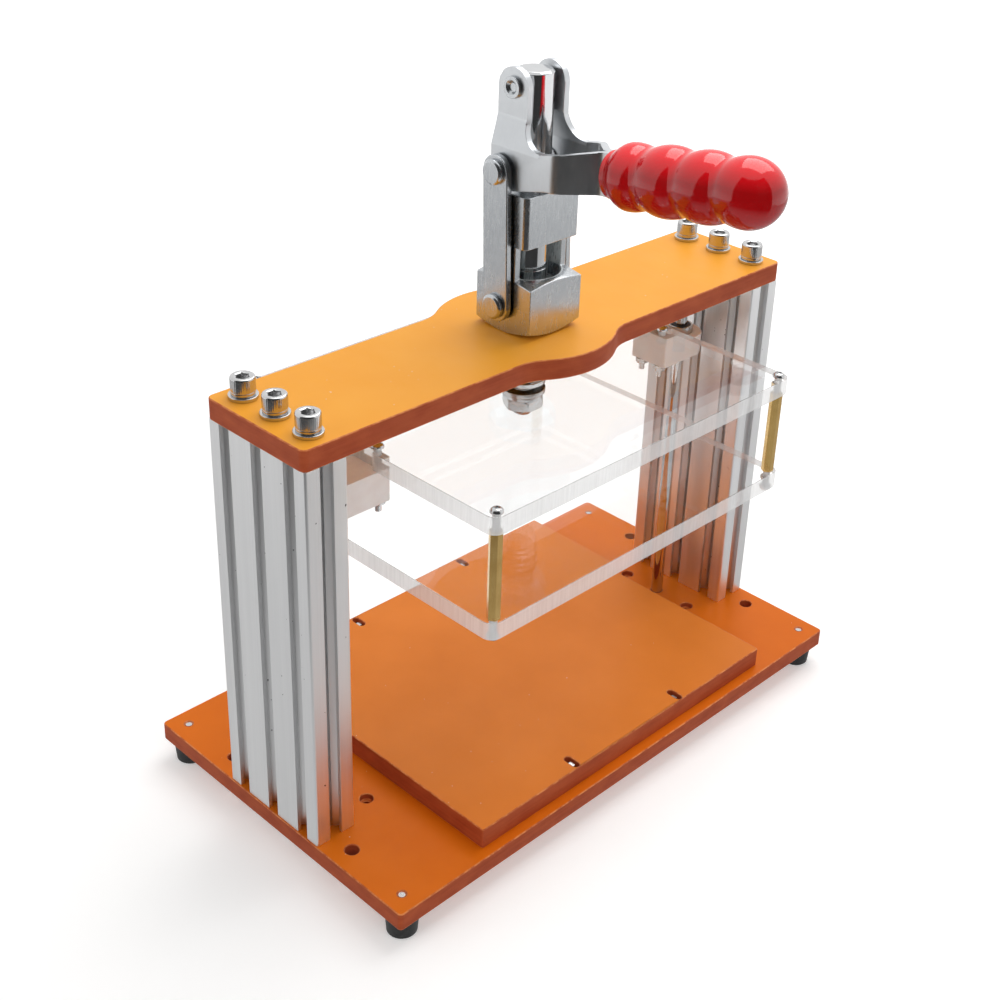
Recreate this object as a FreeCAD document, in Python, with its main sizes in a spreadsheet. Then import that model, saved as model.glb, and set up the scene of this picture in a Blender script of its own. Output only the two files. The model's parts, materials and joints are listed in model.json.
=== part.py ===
import FreeCAD, Part
import Sketcher
import math
import os

from FreeCAD import Placement, Rotation, Vector

# A press fixture for testing circuit boards. A toggle clamp on a bridge moves two clear
# press plates down two guide shafts towards a carrier plate on the base.
# X runs along the base, Y from front to back and Z up. The origin is on the table, under
# the middle of the base. Every driving size is in the sheet, in millimetres.

SIZES = (
    # Rubber feet and their screws
    ("foot_height", 10.5, "foot, from the table to the base"),
    ("foot_top_radius", 7.25, "foot, where it meets the base"),
    ("foot_bottom_radius", 6.5, "foot, at the table"),
    ("foot_edge", 0.9, "foot, bevel round its lower edge"),
    ("foot_inset_x", 8.5, "foot, from the base's short edge"),
    ("foot_inset_y", 8.8, "foot, from the base's long edge"),
    ("foot_recess_radius", 3.4, "recess for the screw head"),
    ("foot_recess_depth", 4.0, "recess for the screw head"),
    ("foot_screw_sink", 0.4, "screw end below the base's top"),
    ("foot_screw_mouth", 1.9, "widened end of the screw's hole, radius"),
    # Base board
    ("fixture_length", 290.0, "base and bridge, along X"),
    ("base_width", 166.0, "base, along Y"),
    ("base_thickness", 8.5, "base board"),
    ("base_corner", 2.0, "base, corner radius"),
    ("fixing_inset", 10.1, "plain fixing holes, from the base's short edge"),
    ("fixing_y", 40.9, "plain fixing holes"),
    ("fixing_radius", 3.1, "plain fixing holes"),
    ("sunk_y", 20.75, "counterbored holes"),
    ("sunk_radius", 1.65, "counterbored holes, through"),
    ("sunk_head_radius", 3.0, "counterbored holes, counterbore"),
    ("sunk_head_depth", 3.0, "counterbored holes, counterbore"),
    # Carrier plate
    ("carrier_inset", 50.0, "carrier plate, from the base's short edge"),
    ("carrier_width", 156.0, "carrier plate, along Y"),
    ("carrier_thickness", 10.0, "carrier plate"),
    ("carrier_corner", 1.0, "carrier plate, corner radius"),
    ("slot_x", 35.6, "carrier slots, from the middle"),
    ("slot_inset", 4.8, "carrier slots, from the carrier's long edge"),
    ("slot_length", 8.0, "carrier slots, over their round ends"),
    ("slot_width", 3.5, "carrier slots"),
    ("carrier_screw_sink", 1.5, "screw end below the carrier's top"),
    # Uprights, a slotted profile of three cells
    ("upright_length", 179.0, "upright, height"),
    ("cell", 20.0, "profile, side of one square cell"),
    ("upright_inset", 10.6, "upright's middle, from the ends of base and bridge"),
    ("profile_corner", 1.0, "profile, corner radius"),
    ("groove_mouth", 6.2, "profile groove, opening"),
    ("groove_lip", 1.8, "profile groove, lip"),
    ("groove_room", 11.0, "profile groove, width behind the lip"),
    ("groove_floor", 6.0, "profile groove, width of its floor"),
    ("groove_depth", 6.1, "profile groove"),
    ("profile_wall", 1.8, "wall between hollow and groove"),
    ("hollow_width", 5.4, "closed hollow between two cells"),
    # Bridge
    ("bridge_width", 60.0, "bridge, along Y"),
    ("bridge_thickness", 9.3, "bridge"),
    ("bridge_corner", 3.0, "bridge, corner radius"),
    ("bulge_radius", 40.0, "round middle of the bridge"),
    ("bulge_blend", 20.0, "hollow curve beside the round middle"),
    # Screws of the uprights
    ("cap_radius", 3.0, "large screw, shank"),
    ("cap_head_radius", 5.0, "large screw, head"),
    ("cap_head_height", 6.0, "large screw, head"),
    ("cap_head_edge", 0.4, "large screw, bevel of its head"),
    ("cap_socket", 5.0, "large screw, hexagon across flats"),
    ("cap_socket_depth", 3.0, "large screw, hexagon"),
    ("cap_grip", 14.0, "large screw, depth in the upright"),
    ("flat_washer_radius", 6.0, "flat washer"),
    ("flat_washer_thickness", 1.6, "flat washer"),
    ("spring_washer_radius", 4.9, "spring washer"),
    ("spring_washer_thickness", 1.6, "spring washer"),
    ("spring_washer_gap", 0.6, "spring washer, gap between its ends"),
    ("cap_pitch", 20.0, "large screws, along Y"),
    # Small screws
    ("small_radius", 1.5, "small screw, shank"),
    ("small_head_radius", 2.75, "small screw, head"),
    ("small_head_height", 2.0, "small screw, head"),
    ("small_head_side", 1.1, "small screw, upright side of its head"),
    ("small_head_flat", 1.7, "small screw, radius of the flat on its head"),
    ("cross_length", 3.0, "cross recess"),
    ("cross_width", 0.7, "cross recess"),
    ("cross_depth", 1.1, "cross recess"),
    # Guide shafts and bearings
    ("shaft_radius", 3.0, "guide shaft"),
    ("shaft_inset", 35.0, "guide shaft, from the ends of base and bridge"),
    ("shaft_seat", 5.0, "guide shaft, depth in base and bridge"),
    ("shaft_bevel", 0.4, "guide shaft, bevel at its ends"),
    ("bearing_radius", 6.0, "linear bearing"),
    ("bearing_length", 19.0, "linear bearing"),
    ("bearing_rise", 3.4, "linear bearing, above its block"),
    ("seal_radius", 4.9, "bearing seal"),
    ("seal_thickness", 1.0, "bearing seal"),
    # Press plates
    ("press_low", 79.4, "lower press plate above the base, plates down"),
    ("press_travel", 25.0, "stroke of the press plates"),
    ("press_inset", 51.2, "press plate, from the ends of base and bridge"),
    ("press_width", 156.0, "press plate, along Y"),
    ("press_thickness", 8.0, "press plate"),
    ("press_corner", 5.0, "press plate, corner radius"),
    ("notch_depth", 2.1, "notch in the side edges"),
    ("notch_width", 15.0, "notch in the side edges"),
    ("notch_radius", 1.5, "notch, inner corners"),
    ("standoff_length", 40.0, "standoff between the plates"),
    ("standoff_flats", 5.0, "standoff, across flats"),
    ("standoff_inset_x", 4.8, "standoff, from the plate's short edge"),
    ("standoff_inset_y", 4.0, "standoff, from the plate's long edge"),
    ("standoff_screw_depth", 6.0, "screw in the standoff"),
    # Guide blocks
    ("block_height", 15.4, "guide block"),
    ("block_half_width", 10.5, "guide block, half its width and its end radius"),
    ("block_reach", 23.5, "guide block, from the shaft to its inner end"),
    ("block_corner", 1.0, "guide block, inner corner radius"),
    ("block_screw_y", 5.5, "guide block screws"),
    ("block_screw_past_nut", 3.6, "guide block screw, end below its nut"),
    ("small_nut_flats", 5.5, "small nut, across flats"),
    ("small_nut_height", 2.4, "small nut"),
    # Plunger and its stud
    ("plunger_radius", 8.0, "plunger"),
    ("plunger_above_pin", 5.8, "plunger, above its pin"),
    ("plunger_bevel", 1.0, "plunger, bevel of its top"),
    ("plunger_ring_rise", 1.0, "plunger, turned ring above the clamp's lower block"),
    ("plunger_ring_depth", 0.25, "plunger, turned ring"),
    ("plunger_ring_width", 0.8, "plunger, turned ring"),
    ("stud_radius", 5.0, "stud"),
    ("stud_bevel", 0.75, "stud, bevel of its end"),
    ("stud_in_plunger", 12.0, "stud, depth in the plunger"),
    ("stud_past_nut", 3.5, "stud, end below the lower nut"),
    ("stud_nut_flats", 16.0, "stud nut, across flats"),
    ("stud_nut_height", 5.0, "stud nut"),
    ("stud_washer_radius", 10.0, "stud's flat washer"),
    ("stud_washer_thickness", 2.0, "stud's flat washer"),
    ("stud_spring_radius", 9.05, "stud's spring washer"),
    ("stud_spring_thickness", 2.2, "stud's spring washer"),
    ("stud_spring_gap", 0.8, "stud's spring washer, gap between its ends"),
    ("plunger_nut_gap", 1.0, "upper stud nut to the plunger"),
    # Clamp body
    ("clamp_half_width", 15.5, "clamp body, half its width"),
    ("clamp_front", 17.0, "clamp body, front of the lower block"),
    ("clamp_back", 15.0, "clamp body, back of the lower block"),
    ("clamp_block_height", 25.2, "clamp body, lower block"),
    ("clamp_window_height", 14.5, "clamp body, window"),
    ("clamp_head_height", 22.5, "clamp body, upper block"),
    ("clamp_head_front", 13.0, "clamp body, front of the upper block"),
    ("clamp_head_back", 10.5, "clamp body, back of the upper block and the walls"),
    ("clamp_window_front", 7.4, "clamp body, front of the window's walls"),
    ("clamp_window_radius", 12.2, "clamp body, window's inner radius"),
    ("clamp_window_back", 0.5, "clamp body, wall left behind the window's round"),
    ("clamp_pocket_radius", 14.0, "clamp body, pocket in the lower block"),
    ("clamp_pocket_depth", 6.5, "clamp body, pocket in the lower block"),
    ("clamp_turned_radius", 15.0, "clamp body, where its turned bevels start"),
    ("clamp_bottom_bevel", 0.41, "clamp body, rise of the lower bevel"),
    ("clamp_top_bevel", 0.27, "clamp body, fall of the upper bevel"),
    ("clamp_shank_radius", 10.0, "clamp body, threaded shank"),
    ("clamp_shank_end", 0.8, "shank end below the lock nut"),
    ("lock_nut_flats", 27.0, "lock nut, across flats"),
    ("lock_nut_height", 6.0, "lock nut"),
    # Linkage
    ("link_pivot_height", 12.8, "links' lower pivot above the bridge"),
    ("link_length", 58.23, "link, between its pivots"),
    ("link_half_width", 7.0, "link, half its width and its end radius"),
    ("sheet_thickness", 3.0, "links and yoke"),
    ("yoke_length", 33.96, "yoke, between its pivots"),
    ("over_centre", 2.0, "middle pivot behind the other two"),
    ("ear_radius", 7.9, "yoke, round its upper pivot"),
    ("yoke_heel_radius", 6.5, "yoke, round its middle pivot"),
    ("yoke_toe_forward", 5.0, "yoke, lowest point ahead of the middle pivot"),
    ("yoke_toe_below", 7.9, "yoke, lowest point below the middle pivot"),
    ("yoke_toe_radius", 2.0, "yoke, round at its lowest point"),
    ("yoke_throat", 9.5, "yoke, hollow curve at the front"),
    ("yoke_bend_y", 25.4, "yoke arms, start of the inward bend"),
    ("yoke_meet_y", 39.0, "yoke arms, where they meet"),
    ("yoke_bend_radius", 4.0, "yoke arms, inside radius of the inward bend"),
    ("joggle_radius", 1.5, "yoke arms, inside radius of the joggle's bends"),
    ("yoke_ear_inner", 9.1, "yoke ears, inner face from the middle"),
    ("joggle_low", 9.7, "joggle, start above the middle pivot"),
    ("joggle_high", 21.7, "joggle, end above the middle pivot"),
    ("arm_top_rise", 0.186, "yoke arm, slope of its upper edge"),
    ("arm_under_rise", 0.236, "yoke arm, slope of its lower edge at the back"),
    ("arm_under_bend_y", 23.2, "yoke arm, bend of its lower edge"),
    ("arm_under_radius", 6.0, "yoke arm, round of that bend"),
    ("arm_front_height", 18.0, "yoke arm, height at the grip"),
    ("pin_radius", 3.0, "pivot pins"),
    ("rivet_head_radius", 5.4, "rivet heads"),
    ("rivet_head_height", 2.5, "rivet heads"),
    ("rivet_head_edge", 0.9, "rivet heads, bevel"),
    ("rivet_seat_depth", 6.0, "lower rivets, depth in the clamp body"),
    ("rivet_inner_radius", 4.3, "middle rivets, inner head, radius"),
    ("rivet_inner_head", 0.6, "middle rivets, inner head"),
    ("yoke_pin_head_radius", 4.5, "upper pins, head"),
    ("yoke_pin_head_height", 1.6, "upper pins, head"),
    ("yoke_pin_hollow", 2.9, "upper pins, radius of the hollow end"),
    ("yoke_pin_hollow_floor", 1.8, "upper pins, radius at the floor of the hollow"),
    ("yoke_pin_hollow_depth", 1.4, "upper pins, hollow end"),
    # Grip
    ("grip_slope", 8.65, "grip, rise towards its end in degrees"),
    ("grip_start_y", 45.1, "grip, start"),
    ("grip_start_drop", 26.9, "grip, axis below the upper pivot"),
    ("grip_length", 80.1, "grip"),
    ("grip_collar_radius", 9.9, "grip, at its start"),
    ("grip_collar_length", 2.6, "grip, straight collar at its start"),
    ("grip_bulge_radius", 14.2, "grip, finger swells"),
    ("grip_neck_radius", 12.0, "grip, necks between the swells"),
    ("grip_first_bulge_at", 10.4, "grip, first swell from its start"),
    ("grip_pitch", 18.5, "grip, from swell to swell"),
    ("tang_length", 24.0, "tang inside the grip"),
    ("tang_half_height", 6.0, "tang inside the grip"),
    ("tang_corner", 2.0, "tang inside the grip, corner radius"),
    # Clearances
    ("thread_gap", 0.05, "screw in its tapped hole"),
    ("hole_gap", 0.2, "screw in a plain hole"),
    ("seat_gap", 0.02, "piece pressed or glued in its seat"),
    ("running_gap", 0.05, "moving pin, plunger or bearing, radial"),
    ("side_gap", 0.3, "beside moving sheets"),
    ("link_gap", 1.0, "between a link and the yoke arm and body beside it"),
    ("washer_gap", 0.15, "under a rivet head beside a moving sheet"),
)


class Size:
    """A number of the sheet, kept with the formula that gives it there."""

    def __init__(self, value, formula):
        self.value = value
        self.formula = formula

    def __add__(self, other):
        return Size(self.value + number(other), f"({self.formula} + {formula(other)})")

    def __radd__(self, other):
        return Size(number(other) + self.value, f"({formula(other)} + {self.formula})")

    def __sub__(self, other):
        return Size(self.value - number(other), f"({self.formula} - {formula(other)})")

    def __rsub__(self, other):
        return Size(number(other) - self.value, f"({formula(other)} - {self.formula})")

    def __mul__(self, other):
        return Size(self.value * number(other), f"({self.formula} * {formula(other)})")

    __rmul__ = __mul__

    def __truediv__(self, other):
        return Size(self.value / number(other), f"({self.formula} / {formula(other)})")

    def __neg__(self):
        return Size(-self.value, f"(-1 * {self.formula})")


def number(size):
    return size.value if isinstance(size, Size) else float(size)


def formula(size):
    return size.formula if isinstance(size, Size) else str(size)


def leg(long_side, short_side):
    """The other leg of a right-angled triangle."""
    value = math.sqrt(number(long_side) ** 2 - number(short_side) ** 2)
    return Size(value, f"sqrt({formula(long_side)} ^ 2 - {formula(short_side)} ^ 2)")


doc = FreeCAD.newDocument("BoardTestFixture")
sheet = doc.addObject("Spreadsheet::Sheet", "Sizes")
for row, (alias, value, note) in enumerate(SIZES, 1):
    sheet.set(f"A{row}", note)
    sheet.set(f"B{row}", str(value))
    sheet.setAlias(f"B{row}", alias)
doc.recompute()


class Sheet:
    """Reads a size from the sheet by its alias."""

    def __getattr__(self, alias):
        return Size(float(sheet.get(alias)), f"Sizes.{alias}")


s = Sheet()
nodes = []


# Heights and places that follow from the driving sizes

foot_x = s.fixture_length / 2 - s.foot_inset_x
foot_y = s.base_width / 2 - s.foot_inset_y
fixing_x = s.fixture_length / 2 - s.fixing_inset
upright_x = s.fixture_length / 2 - s.upright_inset
shaft_x = s.fixture_length / 2 - s.shaft_inset
carrier_length = s.fixture_length - 2 * s.carrier_inset
slot_y = s.carrier_width / 2 - s.slot_inset
press_length = s.fixture_length - 2 * s.press_inset
standoff_x = press_length / 2 - s.standoff_inset_x
standoff_y = s.press_width / 2 - s.standoff_inset_y
block_inner_x = shaft_x - s.block_reach

base_top = s.foot_height + s.base_thickness
carrier_top = base_top + s.carrier_thickness
upright_top = base_top + s.upright_length
bridge_top = upright_top + s.bridge_thickness
lower_plate = base_top + s.press_low + s.press_travel
lower_plate_top = lower_plate + s.press_thickness
upper_plate = lower_plate_top + s.standoff_length
upper_plate_top = upper_plate + s.press_thickness
block_bottom = upper_plate - s.block_height
bearing_bottom = upper_plate + s.bearing_rise - s.bearing_length
stud_nut_top = upper_plate_top + s.stud_washer_thickness + s.stud_nut_height
plunger_bottom = stud_nut_top + s.plunger_nut_gap
clamp_block_top = bridge_top + s.clamp_block_height
clamp_window_top = clamp_block_top + s.clamp_window_height
clamp_top = clamp_window_top + s.clamp_head_height
clamp_shank_bottom = upright_top - s.lock_nut_height - s.clamp_shank_end

lower_pivot = bridge_top + s.link_pivot_height
middle_pivot = lower_pivot + leg(s.link_length, s.over_centre)
upper_pivot = middle_pivot + leg(s.yoke_length, s.over_centre)

# How far a cutting piece runs past the surface that it cuts
past = 1

# Sheets of the linkage, from the middle outwards
arm_outer = s.clamp_half_width
arm_inner = arm_outer - s.sheet_thickness
link_inner = arm_outer + s.link_gap
link_outer = link_inner + s.sheet_thickness


# Small tools for sketches, features and copies

def bind(thing, *pairs):
    """Ties properties of an object to formulas of the sheet."""
    for name, size in pairs:
        thing.setExpression(name, formula(size))


def keep(thing, label):
    """Names a finished sub-part and lists it for export."""
    thing.Label = label
    nodes.append(thing)
    return thing


def new_body(name):
    return doc.addObject("PartDesign::Body", name)


def new_sketch(body, plane, offset=0):
    """A sketch on one of the body's own planes, moved along the plane's normal."""
    sketch = body.newObject("Sketcher::SketchObject", "Sketch")
    for feature in body.Origin.OriginFeatures:
        if feature.Role == plane:
            sketch.AttachmentSupport = [(feature, "")]
    sketch.MapMode = "FlatFace"
    bind(sketch, ("AttachmentOffset.Base.z", offset))
    return sketch


def constrain(sketch, kind, *where_and_size):
    *where, size = where_and_size
    index = sketch.addConstraint(Sketcher.Constraint(kind, *where, number(size)))
    if isinstance(size, Size):
        sketch.setExpression(f"Constraints[{index}]", formula(size))


def place_point(sketch, index, point, x, y):
    """Holds a sketch point at x and y, measured from the sketch's origin."""
    for kind, size, axis in (("DistanceX", x, -2), ("DistanceY", y, -1)):
        if abs(number(size)) < 1e-9:
            sketch.addConstraint(Sketcher.Constraint("PointOnObject", index, point, axis))
        elif number(size) > 0:
            constrain(sketch, kind, -1, 1, index, point, size)
        else:
            constrain(sketch, kind, index, point, -1, 1, -1 * size)


def draw_circle(sketch, radius, x=0, y=0):
    circle = Part.Circle(Vector(number(x), number(y), 0), Vector(0, 0, 1), number(radius))
    index = sketch.addGeometry(circle, False)
    constrain(sketch, "Radius", index, radius)
    place_point(sketch, index, 3, x, y)


def draw_polygon(sketch, corners):
    """A closed outline of straight lines, with every corner held by its sizes."""
    points = [Vector(number(x), number(y), 0) for x, y in corners]
    lines = []
    for index, point in enumerate(points):
        following = points[(index + 1) % len(points)]
        lines.append(sketch.addGeometry(Part.LineSegment(point, following), False))
    for index, line in enumerate(lines):
        following = lines[(index + 1) % len(lines)]
        sketch.addConstraint(Sketcher.Constraint("Coincident", line, 2, following, 1))
    for line, (x, y) in zip(lines, corners):
        place_point(sketch, line, 1, x, y)


def draw_rounded_rectangle(sketch, length, width, radius):
    """A rectangle about the origin with four equal round corners."""
    half_x, half_y, r = number(length) / 2, number(width) / 2, number(radius)
    inner_x, inner_y = half_x - r, half_y - r
    ends = (
        ((-inner_x, -half_y), (inner_x, -half_y)),
        ((half_x, -inner_y), (half_x, inner_y)),
        ((inner_x, half_y), (-inner_x, half_y)),
        ((-half_x, inner_y), (-half_x, -inner_y)),
    )
    centres = ((inner_x, -inner_y), (inner_x, inner_y), (-inner_x, inner_y), (-inner_x, -inner_y))
    lines = [sketch.addGeometry(Part.LineSegment(Vector(*a, 0), Vector(*b, 0)), False) for a, b in ends]
    arcs = []
    for turn, centre in enumerate(centres):
        circle = Part.Circle(Vector(*centre, 0), Vector(0, 0, 1), r)
        start = math.pi / 2 * (turn - 1)
        arcs.append(sketch.addGeometry(Part.ArcOfCircle(circle, start, start + math.pi / 2), False))
    for index, arc in enumerate(arcs):
        following = lines[(index + 1) % 4]
        sketch.addConstraint(Sketcher.Constraint("Tangent", lines[index], 2, arc, 1))
        sketch.addConstraint(Sketcher.Constraint("Tangent", arc, 2, following, 1))
    for line, kind in zip(lines, ("Horizontal", "Vertical", "Horizontal", "Vertical")):
        sketch.addConstraint(Sketcher.Constraint(kind, line))
    for arc in arcs[1:]:
        sketch.addConstraint(Sketcher.Constraint("Equal", arcs[0], arc))
    constrain(sketch, "Radius", arcs[0], radius)
    constrain(sketch, "DistanceY", lines[0], 1, -1, 1, width / 2)
    constrain(sketch, "DistanceX", -1, 1, lines[1], 1, length / 2)
    constrain(sketch, "DistanceY", -1, 1, lines[2], 1, width / 2)
    constrain(sketch, "DistanceX", lines[3], 1, -1, 1, length / 2)


def soft_outline(corners):
    """Lines and arcs of a closed outline. Each corner is x, y and its rounding radius."""
    flat = [(number(x), number(y), number(r)) for x, y, r in corners]
    starts, ends, middles = [], [], []
    for index, (x, y, radius) in enumerate(flat):
        here = Vector(x, y, 0)
        before = Vector(*flat[index - 1][:2], 0) - here
        after = Vector(*flat[(index + 1) % len(flat)][:2], 0) - here
        before.normalize()
        after.normalize()
        half_angle = before.getAngle(after) / 2
        run = radius / math.tan(half_angle)
        bisector = before + after
        bisector.normalize()
        starts.append(here + before * run)
        ends.append(here + after * run)
        middles.append(here + bisector * (radius / math.sin(half_angle) - radius))
    edges = []
    for index, (_, _, radius) in enumerate(flat):
        if radius > 0:
            edges.append(Part.Arc(starts[index], middles[index], ends[index]))
        following = starts[(index + 1) % len(flat)]
        if ends[index].distanceToPoint(following) > 1e-6:
            edges.append(Part.LineSegment(ends[index], following))
    return edges


def draw_edges(sketch, edges):
    """Puts ready lines and arcs in a sketch, joined end to end."""
    indices = [sketch.addGeometry(edge, False) for edge in edges]
    for index in indices:
        sketch.addConstraint(Sketcher.Constraint("Block", index))


def pad(body, sketch, length, both_ways=False):
    feature = body.newObject("PartDesign::Pad", "Pad")
    feature.Profile = sketch
    feature.Midplane = both_ways
    bind(feature, ("Length", length))
    body.Tip = feature
    return feature


def pocket(body, sketch, depth=None):
    """Cuts from the sketch against its normal, through everything if no depth is given."""
    feature = body.newObject("PartDesign::Pocket", "Pocket")
    feature.Profile = sketch
    if depth is None:
        feature.Type = "ThroughAll"
    else:
        bind(feature, ("Length", depth))
    body.Tip = feature
    return feature


def turned(name, profile):
    """A body turned about Z from a closed outline of radii and heights."""
    body = new_body(name)
    sketch = new_sketch(body, "XZ_Plane")
    draw_polygon(sketch, profile)
    feature = body.newObject("PartDesign::Revolution", "Revolution")
    feature.Profile = sketch
    feature.ReferenceAxis = (sketch, ["V_Axis"])
    feature.Angle = 360
    body.Tip = feature
    return body


def tube(name, inner, outer, bottom, top):
    return turned(name, ((inner, bottom), (outer, bottom), (outer, top), (inner, top)))


def box(name, x_low, x_high, y_low, y_high, z_low, z_high):
    thing = doc.addObject("Part::Box", name)
    bind(
        thing,
        ("Length", x_high - x_low),
        ("Width", y_high - y_low),
        ("Height", z_high - z_low),
        ("Placement.Base.x", x_low),
        ("Placement.Base.y", y_low),
        ("Placement.Base.z", z_low),
    )
    return thing


def cylinder(name, radius, bottom, top, x=0, y=0):
    thing = doc.addObject("Part::Cylinder", name)
    bind(
        thing,
        ("Radius", radius),
        ("Height", top - bottom),
        ("Placement.Base.x", x),
        ("Placement.Base.y", y),
        ("Placement.Base.z", bottom),
    )
    return thing


def hexagon(name, flats, bottom, top):
    thing = doc.addObject("Part::Prism", name)
    thing.Polygon = 6
    bind(
        thing,
        ("Circumradius", flats / math.sqrt(3)),
        ("Height", top - bottom),
        ("Placement.Base.z", bottom),
    )
    return thing


def cut(name, base, *tools):
    thing = doc.addObject("Part::Cut", name)
    thing.Base = base
    thing.Tool = tools[0] if len(tools) == 1 else fuse(name + "_tools", *tools)
    return thing


def fuse(name, *parts):
    thing = doc.addObject("Part::MultiFuse", name)
    thing.Shapes = list(parts)
    return thing


def common(name, first, second):
    thing = doc.addObject("Part::MultiCommon", name)
    thing.Shapes = [first, second]
    return thing


def nut(name, flats, bore, bottom, top):
    """A hexagon with a bore."""
    prism = hexagon(name + "_hexagon", flats, bottom, top)
    return cut(name, prism, cylinder(name + "_bore", bore, bottom - past, top + past))


def copies(label, pattern, placements):
    """One node that holds a separate solid at each placement."""
    doc.recompute()
    group = doc.addObject("Part::Feature", label)
    shapes = []
    for placement in placements:
        shape = pattern.Shape.copy()
        shape.Placement = placement.multiply(shape.Placement)
        shapes.extend(shape.Solids)
    group.Shape = Part.makeCompound(shapes)
    return keep(group, label)


def at(x=0, y=0, z=0):
    return Placement(Vector(number(x), number(y), number(z)), Rotation())


def four_corners(x, y):
    return [at(side_x * x, side_y * y) for side_x in (-1, 1) for side_y in (-1, 1)]


def corner_points(x, y):
    return [(side_x * x, side_y * y) for side_x in (-1, 1) for side_y in (-1, 1)]


def two_rows():
    """Places of the six large screws, three on each upright."""
    return [at(side * upright_x, step * s.cap_pitch) for side in (-1, 1) for step in (-1, 0, 1)]


def upside_down(height):
    """Turns a piece over about a level line at this height."""
    return Placement(Vector(0, 0, 2 * number(height)), Rotation(Vector(1, 0, 0), 180))


# Fasteners, each made once about its own axis

def pan_screw(name, seat, end):
    """A small screw with its head above the seat and its shank down to the end."""
    head_top = seat + s.small_head_height
    body = turned(name + "_blank", (
        (0, end),
        (s.small_radius - s.thread_gap, end),
        (s.small_radius - s.thread_gap, seat),
        (s.small_head_radius, seat),
        (s.small_head_radius, seat + s.small_head_side),
        (s.small_head_flat, head_top),
        (0, head_top),
    ))
    half_length, half_width = s.cross_length / 2, s.cross_width / 2
    bottom = head_top - s.cross_depth
    over = head_top + past
    first = box(name + "_slot", -half_length, half_length, -half_width, half_width, bottom, over)
    second = box(name + "_cross", -half_width, half_width, -half_length, half_length, bottom, over)
    return cut(name, body, first, second)


def cap_screw(name, seat, end):
    """A large screw with a hexagon socket in its round head."""
    head_top = seat + s.cap_head_height
    bevel = s.cap_head_edge
    body = turned(name + "_blank", (
        (0, end),
        (s.cap_radius - s.thread_gap, end),
        (s.cap_radius - s.thread_gap, seat),
        (s.cap_head_radius, seat),
        (s.cap_head_radius, head_top - bevel),
        (s.cap_head_radius - bevel, head_top),
        (0, head_top),
    ))
    socket = hexagon(name + "_socket", s.cap_socket, head_top - s.cap_socket_depth, head_top + past)
    return cut(name, body, socket)


# Base

def base_plate():
    body = new_body("base_plate")
    outline = new_sketch(body, "XY_Plane", s.foot_height)
    draw_rounded_rectangle(outline, s.fixture_length, s.base_width, s.base_corner)
    pad(body, outline, s.base_thickness)

    through = new_sketch(body, "XY_Plane", base_top)
    for x, y in corner_points(fixing_x, s.fixing_y):
        draw_circle(through, s.fixing_radius, x, y)
    for x, y in corner_points(shaft_x, s.sunk_y):
        draw_circle(through, s.sunk_radius, x, y)
    for x, y in corner_points(foot_x, foot_y):
        draw_circle(through, s.small_radius, x, y)
    for x, y in corner_points(s.slot_x, slot_y):
        draw_circle(through, s.small_radius + s.hole_gap, x, y)
    for side in (-1, 1):
        for step in (-1, 0, 1):
            draw_circle(through, s.cap_radius + s.hole_gap, side * upright_x, step * s.cap_pitch)
    pocket(body, through)

    sunk = new_sketch(body, "XY_Plane", base_top)
    for x, y in corner_points(shaft_x, s.sunk_y):
        draw_circle(sunk, s.sunk_head_radius, x, y)
    pocket(body, sunk, s.sunk_head_depth)

    mouths = new_sketch(body, "XY_Plane", base_top)
    for x, y in corner_points(foot_x, foot_y):
        draw_circle(mouths, s.foot_screw_mouth, x, y)
    pocket(body, mouths, s.foot_screw_sink)

    seats = new_sketch(body, "XY_Plane", base_top)
    for side in (-1, 1):
        draw_circle(seats, s.shaft_radius + s.seat_gap, side * shaft_x)
    pocket(body, seats, s.shaft_seat)
    keep(body, "base_plate")


def rubber_feet():
    recess_top = s.foot_recess_depth
    hole = s.small_radius + s.hole_gap
    foot = turned("foot", (
        (s.foot_recess_radius, 0),
        (s.foot_bottom_radius - s.foot_edge, 0),
        (s.foot_bottom_radius, s.foot_edge),
        (s.foot_top_radius, s.foot_height),
        (hole, s.foot_height),
        (hole, recess_top),
        (s.foot_recess_radius, recess_top),
    ))
    copies("rubber_feet", foot, four_corners(foot_x, foot_y))


def foot_screws():
    """Each enters its foot from below, with its end just under the base's top."""
    length = base_top - s.foot_screw_sink - s.foot_recess_depth
    screw = pan_screw("foot_screw", s.foot_recess_depth, s.foot_recess_depth - length)
    turn = upside_down(s.foot_recess_depth)
    copies("foot_screws", screw, [place * turn for place in four_corners(foot_x, foot_y)])


def carrier_plate():
    body = new_body("carrier_plate")
    outline = new_sketch(body, "XY_Plane", base_top)
    draw_rounded_rectangle(outline, carrier_length, s.carrier_width, s.carrier_corner)
    pad(body, outline, s.carrier_thickness)
    slots = new_sketch(body, "XY_Plane", carrier_top)
    half_width, half_length = s.slot_width / 2, s.slot_length / 2
    for x, y in corner_points(s.slot_x, slot_y):
        draw_edges(slots, soft_outline((
            (x - half_width, y - half_length, half_width),
            (x + half_width, y - half_length, half_width),
            (x + half_width, y + half_length, half_width),
            (x - half_width, y + half_length, half_width),
        )))
    pocket(body, slots)
    keep(body, "carrier_plate")


def carrier_screws():
    """Up through the base into the carrier's slots."""
    length = s.base_thickness + s.carrier_thickness - s.carrier_screw_sink
    screw = pan_screw("carrier_screw", s.foot_height, s.foot_height - length)
    turn = upside_down(s.foot_height)
    copies("carrier_screws", screw, [place * turn for place in four_corners(s.slot_x, slot_y)])


# Uprights and bridge

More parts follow.
